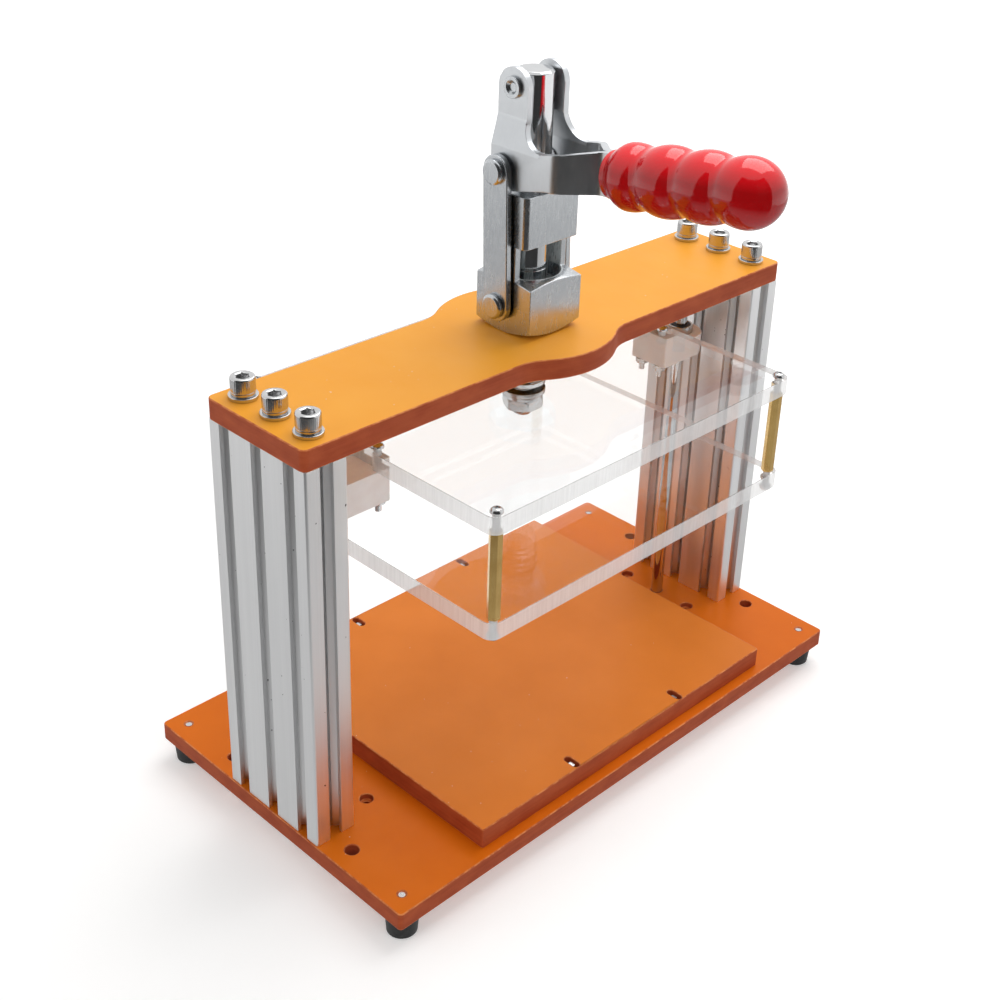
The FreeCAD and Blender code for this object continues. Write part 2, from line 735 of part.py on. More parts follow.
def groove_outline(x, y, turn):
    """One groove of the profile. It opens at x, y and runs inwards along the turned axis."""
    mouth, room, floor = s.groove_mouth / 2, s.groove_room / 2, s.groove_floor / 2
    lip, depth = s.groove_lip, s.groove_depth
    slant = depth - (room - floor)
    points = ((-past, mouth), (lip, mouth), (lip, room), (slant, room), (depth, floor))
    shape = [(number(a), number(b)) for a, b in points]
    shape += [(a, -b) for a, b in reversed(shape)]
    cos, sin = round(math.cos(math.radians(turn))), round(math.sin(math.radians(turn)))
    return [(number(x) + a * cos - b * sin, number(y) + a * sin + b * cos, 0) for a, b in shape]


def upright(label, side):
    body = new_body(label)
    body_x = side * upright_x
    section = new_sketch(body, "XY_Plane", base_top)
    draw_rounded_rectangle(section, s.cell, s.cell * 3, s.profile_corner)
    pad(body, section, s.upright_length)

    grooves = new_sketch(body, "XY_Plane", upright_top)
    half = s.cell / 2
    for step in (-1, 0, 1):
        draw_edges(grooves, soft_outline(groove_outline(-half, step * s.cell, 0)))
        draw_edges(grooves, soft_outline(groove_outline(half, step * s.cell, 180)))
    draw_edges(grooves, soft_outline(groove_outline(0, s.cell * -1.5, 90)))
    draw_edges(grooves, soft_outline(groove_outline(0, s.cell * 1.5, 270)))
    pocket(body, grooves)

    hollows = new_sketch(body, "XY_Plane", upright_top)
    half_x, half_y = half - s.profile_wall, s.hollow_width / 2
    for step in (-0.5, 0.5):
        y = step * s.cell
        draw_polygon(hollows, (
            (-half_x, y - half_y),
            (half_x, y - half_y),
            (half_x, y + half_y),
            (-half_x, y + half_y),
        ))
    for step in (-1, 0, 1):
        draw_circle(hollows, s.cap_radius, 0, step * s.cap_pitch)
    pocket(body, hollows)
    bind(body, ("Placement.Base.x", body_x))
    keep(body, label)


def base_screws():
    """From below, through the base into the uprights."""
    screw = cap_screw("base_screw", s.foot_height, s.foot_height - s.base_thickness - s.cap_grip)
    turn = upside_down(s.foot_height)
    copies("base_screws", screw, [place * turn for place in two_rows()])


def bridge_edges():
    """The bridge seen from above, with its round middle."""
    half_x, half_y = number(s.fixture_length) / 2, number(s.bridge_width) / 2
    corner, bulge, blend = number(s.bridge_corner), number(s.bulge_radius), number(s.bulge_blend)
    blend_y = half_y + blend
    blend_x = math.sqrt((bulge + blend) ** 2 - blend_y ** 2)
    share = bulge / (bulge + blend)
    joint_x, joint_y = blend_x * share, blend_y * share
    lean = math.atan2(joint_x, joint_y) / 2
    middle_x, middle_y = blend_x - blend * math.sin(lean), blend_y - blend * math.cos(lean)
    diagonal = corner * (1 - math.sqrt(0.5))

    edges = []
    for turn in (-1, 1):

        def point(x, y):
            return Vector(-turn * x, turn * y, 0)

        edges += [
            Part.LineSegment(point(-half_x + corner, half_y), point(-blend_x, half_y)),
            Part.Arc(point(-blend_x, half_y), point(-middle_x, middle_y), point(-joint_x, joint_y)),
            Part.Arc(point(-joint_x, joint_y), point(0, bulge), point(joint_x, joint_y)),
            Part.Arc(point(joint_x, joint_y), point(middle_x, middle_y), point(blend_x, half_y)),
            Part.LineSegment(point(blend_x, half_y), point(half_x - corner, half_y)),
            Part.Arc(
                point(half_x - corner, half_y),
                point(half_x - diagonal, half_y - diagonal),
                point(half_x, half_y - corner),
            ),
            Part.LineSegment(point(half_x, half_y - corner), point(half_x, -half_y + corner)),
            Part.Arc(
                point(half_x, -half_y + corner),
                point(half_x - diagonal, -half_y + diagonal),
                point(half_x - corner, -half_y),
            ),
        ]
    return edges


def bridge_plate():
    body = new_body("bridge_plate")
    outline = new_sketch(body, "XY_Plane", upright_top)
    draw_edges(outline, bridge_edges())
    pad(body, outline, s.bridge_thickness)
    holes = new_sketch(body, "XY_Plane", bridge_top)
    draw_circle(holes, s.clamp_shank_radius + s.hole_gap)
    for side in (-1, 1):
        for step in (-1, 0, 1):
            draw_circle(holes, s.cap_radius + s.hole_gap, side * upright_x, step * s.cap_pitch)
    pocket(body, holes)
    seats = new_sketch(body, "XY_Plane", upright_top + s.shaft_seat)
    for side in (-1, 1):
        draw_circle(seats, s.shaft_radius + s.seat_gap, side * shaft_x)
    pocket(body, seats, s.shaft_seat)
    keep(body, "bridge_plate")


def upright_fasteners():
    """Flat washer, spring washer and screw over each tapped hole of the uprights."""
    flat_top = bridge_top + s.flat_washer_thickness
    spring_top = flat_top + s.spring_washer_thickness
    bore = s.cap_radius + s.hole_gap
    flat = tube("flat_washer", bore, s.flat_washer_radius, bridge_top, flat_top)
    copies("upright_flat_washers", flat, two_rows())
    ring = tube("spring_washer_ring", bore, s.spring_washer_radius, flat_top, spring_top)
    half_gap, reach = s.spring_washer_gap / 2, s.flat_washer_radius
    gap = box("spring_washer_gap", 0, reach, -half_gap, half_gap, flat_top - past, spring_top + past)
    copies("upright_spring_washers", cut("spring_washer", ring, gap), two_rows())
    screw = cap_screw("bridge_screw", spring_top, upright_top - s.cap_grip)
    copies("upright_cap_screws", screw, two_rows())


# Guides

def guide_shaft(label, side):
    bottom, top = base_top - s.shaft_seat, upright_top + s.shaft_seat
    body = turned(label, (
        (0, bottom),
        (s.shaft_radius - s.shaft_bevel, bottom),
        (s.shaft_radius, bottom + s.shaft_bevel),
        (s.shaft_radius, top - s.shaft_bevel),
        (s.shaft_radius - s.shaft_bevel, top),
        (0, top),
    ))
    bind(body, ("Placement.Base.x", side * shaft_x))
    keep(body, label)


def guide_block(label, side):
    body = new_body(label)
    outline = new_sketch(body, "XY_Plane", block_bottom)
    near, far = side * block_inner_x, side * (shaft_x + s.block_half_width)
    half = s.block_half_width
    draw_edges(outline, soft_outline((
        (near, -half, s.block_corner),
        (far, -half, half),
        (far, half, half),
        (near, half, s.block_corner),
    )))
    pad(body, outline, s.block_height)
    holes = new_sketch(body, "XY_Plane", upper_plate)
    draw_circle(holes, s.bearing_radius + s.seat_gap, side * shaft_x)
    for y in (-s.block_screw_y, s.block_screw_y):
        draw_circle(holes, s.small_radius + s.hole_gap, side * standoff_x, y)
    pocket(body, holes)
    keep(body, label)


def bearings():
    """A steel sleeve with a black seal let into each end."""
    top = bearing_bottom + s.bearing_length
    bore = s.shaft_radius + s.running_gap
    shell_bore = s.seal_radius + s.seat_gap
    low, high = bearing_bottom + s.seal_thickness, top - s.seal_thickness
    sleeve = turned("bearing", (
        (bore, low),
        (shell_bore, low),
        (shell_bore, bearing_bottom),
        (s.bearing_radius, bearing_bottom),
        (s.bearing_radius, top),
        (shell_bore, top),
        (shell_bore, high),
        (bore, high),
    ))
    places = [at(-shaft_x), at(shaft_x)]
    copies("linear_bearings", sleeve, places)
    seal = tube("seal", bore, s.seal_radius, bearing_bottom, low)
    up = at(0, 0, s.bearing_length - s.seal_thickness)
    copies("bearing_seals", seal, places + [place * up for place in places])


def block_fasteners():
    """Two screws and nuts hold each guide block under the upper press plate."""
    places = four_corners(standoff_x, s.block_screw_y)
    nut_bottom = block_bottom - s.small_nut_height
    screw = pan_screw("block_screw", upper_plate_top, nut_bottom - s.block_screw_past_nut)
    copies("block_screws", screw, places)
    small_nut = nut("block_nut", s.small_nut_flats, s.small_radius, nut_bottom, block_bottom)
    copies("block_nuts", small_nut, places)


# Press plates

def press_plate(label, bottom, with_block_holes):
    top = bottom + s.press_thickness
    body = new_body(label)
    outline = new_sketch(body, "XY_Plane", bottom)
    draw_rounded_rectangle(outline, press_length, s.press_width, s.press_corner)
    pad(body, outline, s.press_thickness)
    holes = new_sketch(body, "XY_Plane", top)
    for x, y in corner_points(standoff_x, standoff_y):
        draw_circle(holes, s.small_radius + s.hole_gap, x, y)
    if with_block_holes:
        draw_circle(holes, s.stud_radius + s.hole_gap)
        for x, y in corner_points(standoff_x, s.block_screw_y):
            draw_circle(holes, s.small_radius + s.hole_gap, x, y)
    pocket(body, holes)
    if with_block_holes:
        notches = new_sketch(body, "XY_Plane", top)
        edge, half = press_length / 2, s.notch_width / 2
        for side in (-1, 1):
            inside, outside = side * (edge - s.notch_depth), side * (edge + s.notch_depth)
            draw_edges(notches, soft_outline((
                (inside, -half, s.notch_radius),
                (outside, -half, 0),
                (outside, half, 0),
                (inside, half, s.notch_radius),
            )))
        pocket(body, notches)
    keep(body, label)


def standoffs():
    """Hexagon brass spacers with a tapped hole in each end, and their screws."""
    places = four_corners(standoff_x, standoff_y)
    rod = hexagon("standoff_hexagon", s.standoff_flats, lower_plate_top, upper_plate)
    deep = s.standoff_screw_depth + s.small_radius
    low = cylinder("standoff_low_hole", s.small_radius, lower_plate_top - past, lower_plate_top + deep)
    high = cylinder("standoff_high_hole", s.small_radius, upper_plate - deep, upper_plate + past)
    copies("standoffs", cut("standoff", rod, low, high), places)
    top_screw = pan_screw("standoff_top_screw", upper_plate_top, upper_plate - s.standoff_screw_depth)
    copies("standoff_top_screws", top_screw, places)
    length = s.press_thickness + s.standoff_screw_depth
    low_screw = pan_screw("standoff_low_screw", lower_plate, lower_plate - length)
    turn = upside_down(lower_plate)
    copies("standoff_bottom_screws", low_screw, [place * turn for place in places])


# Plunger and its stud

def plunger():
    top = upper_pivot + s.plunger_above_pin
    ring = clamp_block_top + s.plunger_ring_rise
    ring_radius = s.plunger_radius - s.plunger_ring_depth
    bore = s.stud_radius + s.seat_gap
    bore_top = plunger_bottom + s.stud_in_plunger + s.stud_bevel
    body = turned("plunger", (
        (bore, plunger_bottom),
        (s.plunger_radius, plunger_bottom),
        (s.plunger_radius, ring),
        (ring_radius, ring),
        (ring_radius, ring + s.plunger_ring_width),
        (s.plunger_radius, ring + s.plunger_ring_width),
        (s.plunger_radius, top - s.plunger_bevel),
        (s.plunger_radius - s.plunger_bevel, top),
        (0, top),
        (0, bore_top),
        (bore, bore_top),
    ))
    keep(body, "plunger")


def stud_set():
    """The threaded stud and the nuts and washers that grip the upper press plate."""
    washer = s.stud_washer_thickness
    spring_top = upper_plate - washer
    nut_top = spring_top - s.stud_spring_thickness
    nut_bottom = nut_top - s.stud_nut_height
    end = nut_bottom - s.stud_past_nut
    bevel = s.stud_bevel
    stud = turned("plunger_stud", (
        (0, end),
        (s.stud_radius - bevel, end),
        (s.stud_radius, end + bevel),
        (s.stud_radius, plunger_bottom + s.stud_in_plunger),
        (0, plunger_bottom + s.stud_in_plunger),
    ))
    keep(stud, "plunger_stud")
    bore = s.stud_radius + s.thread_gap
    step = stud_nut_top - nut_top
    low_nut = nut("stud_nut", s.stud_nut_flats, bore, nut_bottom, nut_top)
    copies("plunger_nuts", low_nut, [at(), at(0, 0, step)])
    flat = tube("stud_washer", s.stud_radius + s.hole_gap, s.stud_washer_radius, spring_top, upper_plate)
    copies("plunger_flat_washers", flat, [at(), at(0, 0, s.press_thickness + washer)])
    bore = s.stud_radius + s.hole_gap
    ring = tube("stud_spring_ring", bore, s.stud_spring_radius, nut_top, spring_top)
    half_gap, reach = s.stud_spring_gap / 2, s.stud_washer_radius
    gap = box("stud_spring_gap", 0, reach, -half_gap, half_gap, nut_top - past, spring_top + past)
    keep(cut("plunger_spring_washer", ring, gap), "plunger_spring_washer")


# Clamp body

def clamp_body():
    """A block with an open window round the plunger and a threaded shank below."""
    wide, front, back = s.clamp_half_width, s.clamp_front, s.clamp_back
    reach = wide + front - s.clamp_turned_radius
    low_rise, top_fall = reach * s.clamp_bottom_bevel, reach * s.clamp_top_bevel
    rough = box("clamp_block", -wide, wide, -front, back, bridge_top, clamp_block_top)
    turning = turned("clamp_turning", (
        (0, bridge_top),
        (s.clamp_turned_radius, bridge_top),
        (s.clamp_turned_radius + reach, bridge_top + low_rise),
        (s.clamp_turned_radius + reach, clamp_block_top - top_fall),
        (s.clamp_turned_radius, clamp_block_top),
        (0, clamp_block_top),
    ))
    block = common("clamp_lower_block", rough, turning)
    pocket_floor = clamp_block_top - s.clamp_pocket_depth
    head_back, wall_front = s.clamp_head_back, s.clamp_window_front
    wall = box("clamp_wall", -wide, wide, -wall_front, head_back, pocket_floor, clamp_window_top)
    head = box("clamp_head", -wide, wide, -s.clamp_head_front, head_back, clamp_window_top, clamp_top)
    shank = cylinder("clamp_shank", s.clamp_shank_radius, clamp_shank_bottom, bridge_top + past)
    solid = fuse("clamp_solid", block, wall, head, shank)

    radius = s.clamp_window_radius
    deepest = head_back - s.clamp_window_back
    round_room = cylinder("clamp_window_round", radius, pocket_floor, clamp_window_top)
    room_limit = box("clamp_window_limit", -wide, wide, -front, deepest, pocket_floor, clamp_window_top)
    round_part = common("clamp_window_back", round_room, room_limit)
    open_room = box("clamp_window_room", -radius, radius, -front - past, 0, clamp_block_top, clamp_window_top)
    bowl = cylinder("clamp_pocket", s.clamp_pocket_radius, pocket_floor, clamp_block_top)
    ahead = box("clamp_pocket_half", -wide, wide, -front, 0, pocket_floor, clamp_block_top)
    front_bowl = common("clamp_front_pocket", bowl, ahead)
    bore = s.plunger_radius + s.running_gap
    bore_hole = cylinder("clamp_bore", bore, clamp_shank_bottom - past, clamp_top + past)
    pin_holes = []
    for name, turn in (("left", -90), ("right", 90)):
        hole = doc.addObject("Part::Cylinder", f"clamp_{name}_pin_hole")
        bind(hole, ("Radius", s.pin_radius + s.seat_gap), ("Height", s.rivet_seat_depth + past))
        start = number(wide - s.rivet_seat_depth)
        if turn < 0:
            start = -start
        place = Vector(start, 0, number(lower_pivot))
        hole.Placement = Placement(place, Rotation(Vector(0, 1, 0), turn))
        pin_holes.append(hole)
    body = cut("clamp_body", solid, round_part, open_room, front_bowl, bore_hole, *pin_holes)
    keep(body, "clamp_body")


def clamp_lock_nut():
    bore = s.clamp_shank_radius + s.thread_gap
    piece = nut("clamp_lock_nut", s.lock_nut_flats, bore, upright_top - s.lock_nut_height, upright_top)
    keep(piece, "clamp_lock_nut")


# Linkage

def cross_pin(name, profile, y, z):
    """Two turned pins that mirror each other across the middle. Heights run outwards."""
    pattern = turned(name, profile)
    places = []
    for turn in (-90, 90):
        places.append(Placement(Vector(0, number(y), number(z)), Rotation(Vector(0, 1, 0), turn)))
    return pattern, places


def rivet_profile(inner_end, seat, head_height):
    head_top = seat + head_height
    return (
        (0, inner_end),
        (s.pin_radius, inner_end),
        (s.pin_radius, seat),
        (s.rivet_head_radius, seat),
        (s.rivet_head_radius, head_top - s.rivet_head_edge),
        (s.rivet_head_radius - s.rivet_head_edge, head_top),
        (0, head_top),
    )


def lower_link_rivets():
    """Fixed in the clamp body. The links turn on them."""
    profile = rivet_profile(
        s.clamp_half_width - s.rivet_seat_depth,
        link_outer + s.washer_gap,
        s.rivet_head_height,
    )
    pattern, places = cross_pin("lower_rivet", profile, 0, lower_pivot)
    copies("lower_link_rivets", pattern, places)


def upper_link_rivets():
    """Fixed in the links. The yoke arms turn on them, inside a small inner head."""
    inner = arm_inner - s.washer_gap
    head_top = link_outer + s.rivet_head_height
    profile = (
        (0, inner - s.rivet_inner_head),
        (s.rivet_inner_radius, inner - s.rivet_inner_head),
        (s.rivet_inner_radius, inner),
        (s.pin_radius, inner),
        (s.pin_radius, link_outer),
        (s.rivet_head_radius, link_outer),
        (s.rivet_head_radius, head_top - s.rivet_head_edge),
        (s.rivet_head_radius - s.rivet_head_edge, head_top),
        (0, head_top),
    )
    pattern, places = cross_pin("upper_rivet", profile, s.over_centre, middle_pivot)
    copies("upper_link_rivets", pattern, places)


def yoke_pins():
    """Stubs in the ears of the yoke, with hollow outer ends, just clear of the plunger."""
    ear_outer = s.yoke_ear_inner + s.sheet_thickness
    head_top = ear_outer + s.yoke_pin_head_height
    profile = (
        (0, s.plunger_radius + s.side_gap),
        (s.pin_radius, s.plunger_radius + s.side_gap),
        (s.pin_radius, ear_outer),
        (s.yoke_pin_head_radius, ear_outer),
        (s.yoke_pin_head_radius, head_top),
        (s.yoke_pin_hollow, head_top),
        (s.yoke_pin_hollow_floor, head_top - s.yoke_pin_hollow_depth),
        (0, head_top - s.yoke_pin_hollow_depth),
    )
    pattern, places = cross_pin("yoke_pin", profile, 0, upper_pivot)
    copies("yoke_pins", pattern, places)


def link(label, side):
    """A flat bar with round ends, leaning back to the middle pivot."""
    body = new_body(label)
    outline = new_sketch(body, "YZ_Plane")
    half = s.link_half_width
    draw_edges(outline, soft_outline((
        (-half, -half, half),
        (half, -half, half),
        (half, s.link_length + half, half),
        (-half, s.link_length + half, half),
    )))
    pad(body, outline, s.sheet_thickness)
    holes = new_sketch(body, "YZ_Plane", s.sheet_thickness)
    draw_circle(holes, s.pin_radius + s.running_gap)
    draw_circle(holes, s.pin_radius + s.seat_gap, 0, s.link_length)
    pocket(body, holes)
    lean = math.degrees(math.asin(number(s.over_centre) / number(s.link_length)))
    x = link_inner if side > 0 else -1 * link_outer
    place = Vector(number(x), 0, number(lower_pivot))
    body.Placement = Placement(place, Rotation(Vector(1, 0, 0), -lean))
    keep(body, label)


def face_of(corners, place):
    """A flat face inside an outline with rounded corners, set in space."""
    wire = Part.Wire([edge.toShape() for edge in soft_outline(corners)])
    wire.transformShape(place.toMatrix())
    return Part.Face(wire)


def yoke_side_face():
    """The yoke seen from the side, from the ears down to the heel and forward to the tang."""
    ear, top = number(s.ear_radius), number(upper_pivot)
    pivot_y, pivot_z = number(s.over_centre), number(middle_pivot)
    heel, forward, below = number(s.yoke_heel_radius), number(s.yoke_toe_forward), number(s.yoke_toe_below)
    toe_y, toe_z = pivot_y - forward, pivot_z - below
    back_y = pivot_y + heel
    toe_distance = math.hypot(forward, below)
    tilt = math.acos(heel / toe_distance) - math.atan2(forward, below)
    heel_z = toe_z + (back_y - toe_y) * math.tan(tilt)

    bend_y = -number(s.arm_under_bend_y)
    bend_z = toe_z + (toe_y - bend_y) * number(s.arm_under_rise)

    slope = math.radians(number(s.grip_slope))
    start_y, start_z = -number(s.grip_start_y), top - number(s.grip_start_drop)

    def beside_grip(along, across):
        """A point along the grip's axis from its start, and across it."""
        y = start_y - along * math.cos(slope) + across * math.sin(slope)
        return y, start_z + along * math.sin(slope) + across * math.cos(slope)

    half_front, half_tang = number(s.arm_front_height) / 2, number(s.tang_half_height)
    shoulder, tang_end = -number(s.side_gap), number(s.tang_length)
    front_y, front_z = beside_grip(shoulder, half_front)
    throat_z = front_z + (front_y + ear) * number(s.arm_top_rise)
    corners = (
        (back_y, top + ear, ear),
        (-ear, top + ear, ear),
        (-ear, throat_z, s.yoke_throat),
        (front_y, front_z, 0),
        (*beside_grip(shoulder, half_tang), 0),
        (*beside_grip(tang_end, half_tang), s.tang_corner),
        (*beside_grip(tang_end, -half_tang), s.tang_corner),
        (*beside_grip(shoulder, -half_tang), 0),
        (*beside_grip(shoulder, -half_front), 0),
        (bend_y, bend_z, s.arm_under_radius),
        (toe_y, toe_z, s.yoke_toe_radius),
        (back_y, heel_z, heel),
    )
    return face_of(corners, Placement(Vector(), Rotation(Vector(1, 1, 1), 120)))


def yoke_arm(label, side):
    """Sheet that is joggled inwards at its ear and bent inwards to the grip."""
    thick, bend, meet = number(s.sheet_thickness), number(s.yoke_bend_y), number(s.yoke_meet_y)
    outer, inner = number(arm_outer), number(arm_inner)
    ear_inner = number(s.yoke_ear_inner)
    low, high = number(middle_pivot + s.joggle_low), number(middle_pivot + s.joggle_high)
    bottom = number(middle_pivot - s.yoke_toe_below) - past
    top = number(upper_pivot + s.ear_radius) + past
    back = number(s.over_centre + s.yoke_heel_radius) + past
    tight = number(s.joggle_radius)
    wide = tight + thick
    section = (
        (inner, bottom, 0),
        (outer, bottom, 0),
        (outer, low, tight),
        (ear_inner + thick, high, wide),
        (ear_inner + thick, top, 0),
        (ear_inner, top, 0),
        (ear_inner, high, tight),
        (inner, low, wide),
    )
    to_front = Placement(Vector(0, -bend, 0), Rotation(Vector(1, 0, 0), 90))
    upright_face = face_of([(side * x, z, r) for x, z, r in section], to_front)
    upright_sheet = upright_face.extrude(Vector(0, bend + back, 0))

    tang_end = number(s.grip_start_y + s.tang_length) + past
    run = Vector(outer - thick, meet - bend, 0)
    shift = thick * (run.Length - run.y) / run.x
    tight = number(s.yoke_bend_radius)
    wide = tight + thick
    plan = (
        (inner, bend - wide, 0),
        (outer, bend - wide, 0),
        (outer, bend + shift, wide),
        (thick, meet + shift, tight),
        (thick, tang_end, 0),
        (0, tang_end, 0),
        (0, meet, wide),
        (inner, bend, tight),
    )
    to_level = Placement(Vector(0, 0, bottom), Rotation())
    bent_face = face_of([(side * x, -y, r) for x, y, r in plan], to_level)
    bent_sheet = bent_face.extrude(Vector(0, 0, top - bottom))
    upright_sheet = upright_sheet.cut(Part.makeBox(
        2 * outer, wide, top - bottom, Vector(-outer, -bend, bottom),
    ))
    side_solid = yoke_side_face().extrude(Vector(side * number(arm_outer), 0, 0))
    shape = upright_sheet.fuse(bent_sheet).common(side_solid).removeSplitter()
    for y, z, radius in (
        (0, upper_pivot, s.pin_radius + s.seat_gap),
        (s.over_centre, middle_pivot, s.pin_radius + s.running_gap),
    ):
        start = Vector(0, number(y), number(z))
        reach = number(arm_outer) + past
        shape = shape.cut(Part.makeCylinder(number(radius), reach, start, Vector(side, 0, 0)))
    thing = doc.addObject("Part::Feature", label)
    thing.Shape = shape.Solids[0] if len(shape.Solids) == 1 else shape
    keep(thing, label)


def handle_grip():
    """A moulded grip with finger swells, over the tang of the yoke arms."""
    collar, bulge, neck = s.grip_collar_radius, s.grip_bulge_radius, s.grip_neck_radius
    first, pitch = s.grip_first_bulge_at, s.grip_pitch
    last = first + pitch * 3
    waves = [(s.grip_collar_length, collar), (first, bulge)]
    for step in (0, 1, 2):
        waves += [(first + pitch * (step + 0.5), neck), (first + pitch * (step + 1), bulge)]
    swell = Part.BSplineCurve()
    points = [Vector(number(along), number(radius), 0) for along, radius in waves]
    swell.interpolate(Points=points, InitialTangent=Vector(1, 0.5, 0), FinalTangent=Vector(1, 0, 0))
    centre = Vector(number(last), 0, 0)
    end_length, end_radius = number(s.grip_length - last), number(bulge)
    if end_length >= end_radius:
        ellipse = Part.Ellipse(
            centre + Vector(end_length, 0, 0), centre + Vector(0, end_radius, 0), centre
        )
        end = Part.ArcOfEllipse(ellipse, 0, math.pi / 2)
    else:
        ellipse = Part.Ellipse(
            centre + Vector(0, end_radius, 0), centre + Vector(-end_length, 0, 0), centre
        )
        end = Part.ArcOfEllipse(ellipse, -math.pi / 2, 0)
    body = new_body("grip_form")
    profile = new_sketch(body, "XY_Plane")
    tip, start = Vector(number(s.grip_length), 0, 0), Vector()
    rim = Vector(0, number(collar), 0)
    straight = [Part.LineSegment(tip, start), Part.LineSegment(start, rim), Part.LineSegment(rim, points[0])]
    draw_edges(profile, [swell, end, *straight])
    feature = body.newObject("PartDesign::Revolution", "Revolution")
    feature.Profile = profile
    feature.ReferenceAxis = (profile, ["H_Axis"])
    feature.Angle = 360
    body.Tip = feature
    thick = s.sheet_thickness + s.thread_gap
    half = s.tang_half_height + s.thread_gap
    tang = box("tang_room", -past, s.tang_length + s.hole_gap, -thick, thick, -half, half)
    grip = cut("handle_grip", body, tang)
    slope = math.radians(number(s.grip_slope))
    forward, up = Vector(0, -math.cos(slope), math.sin(slope)), Vector(0, math.sin(slope), math.cos(slope))
    start_z = number(upper_pivot - s.grip_start_drop)
    rotation = Rotation(forward, Vector(1, 0, 0), up, "XYZ")
    grip.Placement = Placement(Vector(0, -number(s.grip_start_y), start_z), rotation)
    keep(grip, "handle_grip")


base_plate()
rubber_feet()
foot_screws()
carrier_plate()
carrier_screws()
upright("left_upright", -1)
upright("right_upright", 1)
base_screws()
bridge_plate()
upright_fasteners()
guide_shaft("left_guide_shaft", -1)
guide_shaft("right_guide_shaft", 1)
clamp_body()
clamp_lock_nut()
lower_link_rivets()
press_plate("lower_press_plate", lower_plate, False)
press_plate("upper_press_plate", upper_plate, True)
standoffs()
guide_block("left_guide_block", -1)
guide_block("right_guide_block", 1)
bearings()
block_fasteners()
plunger()
stud_set()
link("left_link", -1)
link("right_link", 1)
upper_link_rivets()
yoke_arm("left_yoke_arm", -1)
yoke_arm("right_yoke_arm", 1)
yoke_pins()
handle_grip()

doc.recompute()
for thing in doc.Objects:
    if "Invalid" in thing.State or "Error" in thing.State:
        raise RuntimeError(f"{thing.Label} failed: {thing.State}")
for node in nodes:
    if node.Shape.isNull() or not node.Shape.isValid() or not node.Shape.Solids:
        raise RuntimeError(f"{node.Label} has no valid solid")

os.makedirs("parts", exist_ok=True)
for node in nodes:
    node.Shape.exportStep(f"parts/{node.Label}.step")
print(len(nodes), "sub-parts")
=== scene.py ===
import json
import math

import bmesh
import bpy
from mathutils import Matrix, Vector


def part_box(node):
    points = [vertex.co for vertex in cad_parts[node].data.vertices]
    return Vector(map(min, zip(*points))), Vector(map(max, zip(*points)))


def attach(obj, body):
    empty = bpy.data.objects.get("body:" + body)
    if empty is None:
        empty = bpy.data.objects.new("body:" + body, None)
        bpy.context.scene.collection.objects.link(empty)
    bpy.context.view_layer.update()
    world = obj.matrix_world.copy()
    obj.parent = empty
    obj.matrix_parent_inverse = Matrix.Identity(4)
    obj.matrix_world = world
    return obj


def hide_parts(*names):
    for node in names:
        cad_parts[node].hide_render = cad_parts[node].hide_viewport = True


# Looks of a press fixture for testing circuit boards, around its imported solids.
# All lengths are in metres in the frame of the solids: X along the base, Y to the back, Z up.

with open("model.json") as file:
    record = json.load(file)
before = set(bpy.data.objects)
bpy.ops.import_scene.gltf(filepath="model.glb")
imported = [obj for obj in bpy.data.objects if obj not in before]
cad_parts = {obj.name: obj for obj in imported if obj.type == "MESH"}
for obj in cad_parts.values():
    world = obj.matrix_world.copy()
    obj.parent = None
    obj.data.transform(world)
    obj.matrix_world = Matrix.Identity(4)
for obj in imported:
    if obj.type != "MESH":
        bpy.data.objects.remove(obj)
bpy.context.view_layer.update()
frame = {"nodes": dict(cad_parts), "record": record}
scene = bpy.context.scene
MM = 0.001
SLOT_OF = {part["node"]: part["material_slot"] for part in frame["record"]["subparts"]}
BODIES = frame["record"]["behaviour"]["bodies"]
BODY_OF = {node: body for body, nodes in BODIES.items() for node in nodes}


# Camera, at the place from which the photograph was taken

CAMERA_PLACE = Vector((-0.4439, -0.42424, 0.47632))
CAMERA_AIM = Vector((0.098245, 0.076, 0.088931))
CAMERA_ROLL = math.radians(2.761)
CAMERA_LENS = 55.483
CAMERA_SHIFT = (-0.045175, -0.068616)


def make_camera():
    """A camera that looks along the photograph's line of sight, with its roll and its shift."""
    forward = (CAMERA_AIM - CAMERA_PLACE).normalized()
    level = forward.cross(Vector((0, 0, 1))).normalized()
    upward = level.cross(forward)
    right = math.cos(CAMERA_ROLL) * level + math.sin(CAMERA_ROLL) * upward
    up = right.cross(forward)
    data = bpy.data.cameras.new("camera")
    data.sensor_width = 36
    data.lens = CAMERA_LENS
    data.shift_x, data.shift_y = CAMERA_SHIFT
    camera = bpy.data.objects.new("camera", data)
    scene.collection.objects.link(camera)
    turn = Matrix((right, up, -forward)).transposed()
    camera.matrix_world = Matrix.Translation(CAMERA_PLACE) @ turn.to_4x4()
    scene.camera = camera


# Small tools for node materials

def add(tree, kind, inputs=None, **settings):
    """A node, with its settings and with values or links for its inputs."""
    made = tree.nodes.new(kind)
    for name, value in settings.items():
        setattr(made, name, value)
    for name, value in (inputs or {}).items():
        if isinstance(value, bpy.types.NodeSocket):
            tree.links.new(value, made.inputs[name])
        else:
            made.inputs[name].default_value = value
    return made


def new_material(name, inputs):
    """A material with one Principled shader, and its node tree."""
    material = bpy.data.materials.new(name)
    material.use_nodes = True
    tree = material.node_tree
    tree.nodes.clear()
    shader = add(tree, "ShaderNodeBsdfPrincipled", inputs)
    output = add(tree, "ShaderNodeOutputMaterial", {"Surface": shader.outputs["BSDF"]})
    return material, tree, shader, output


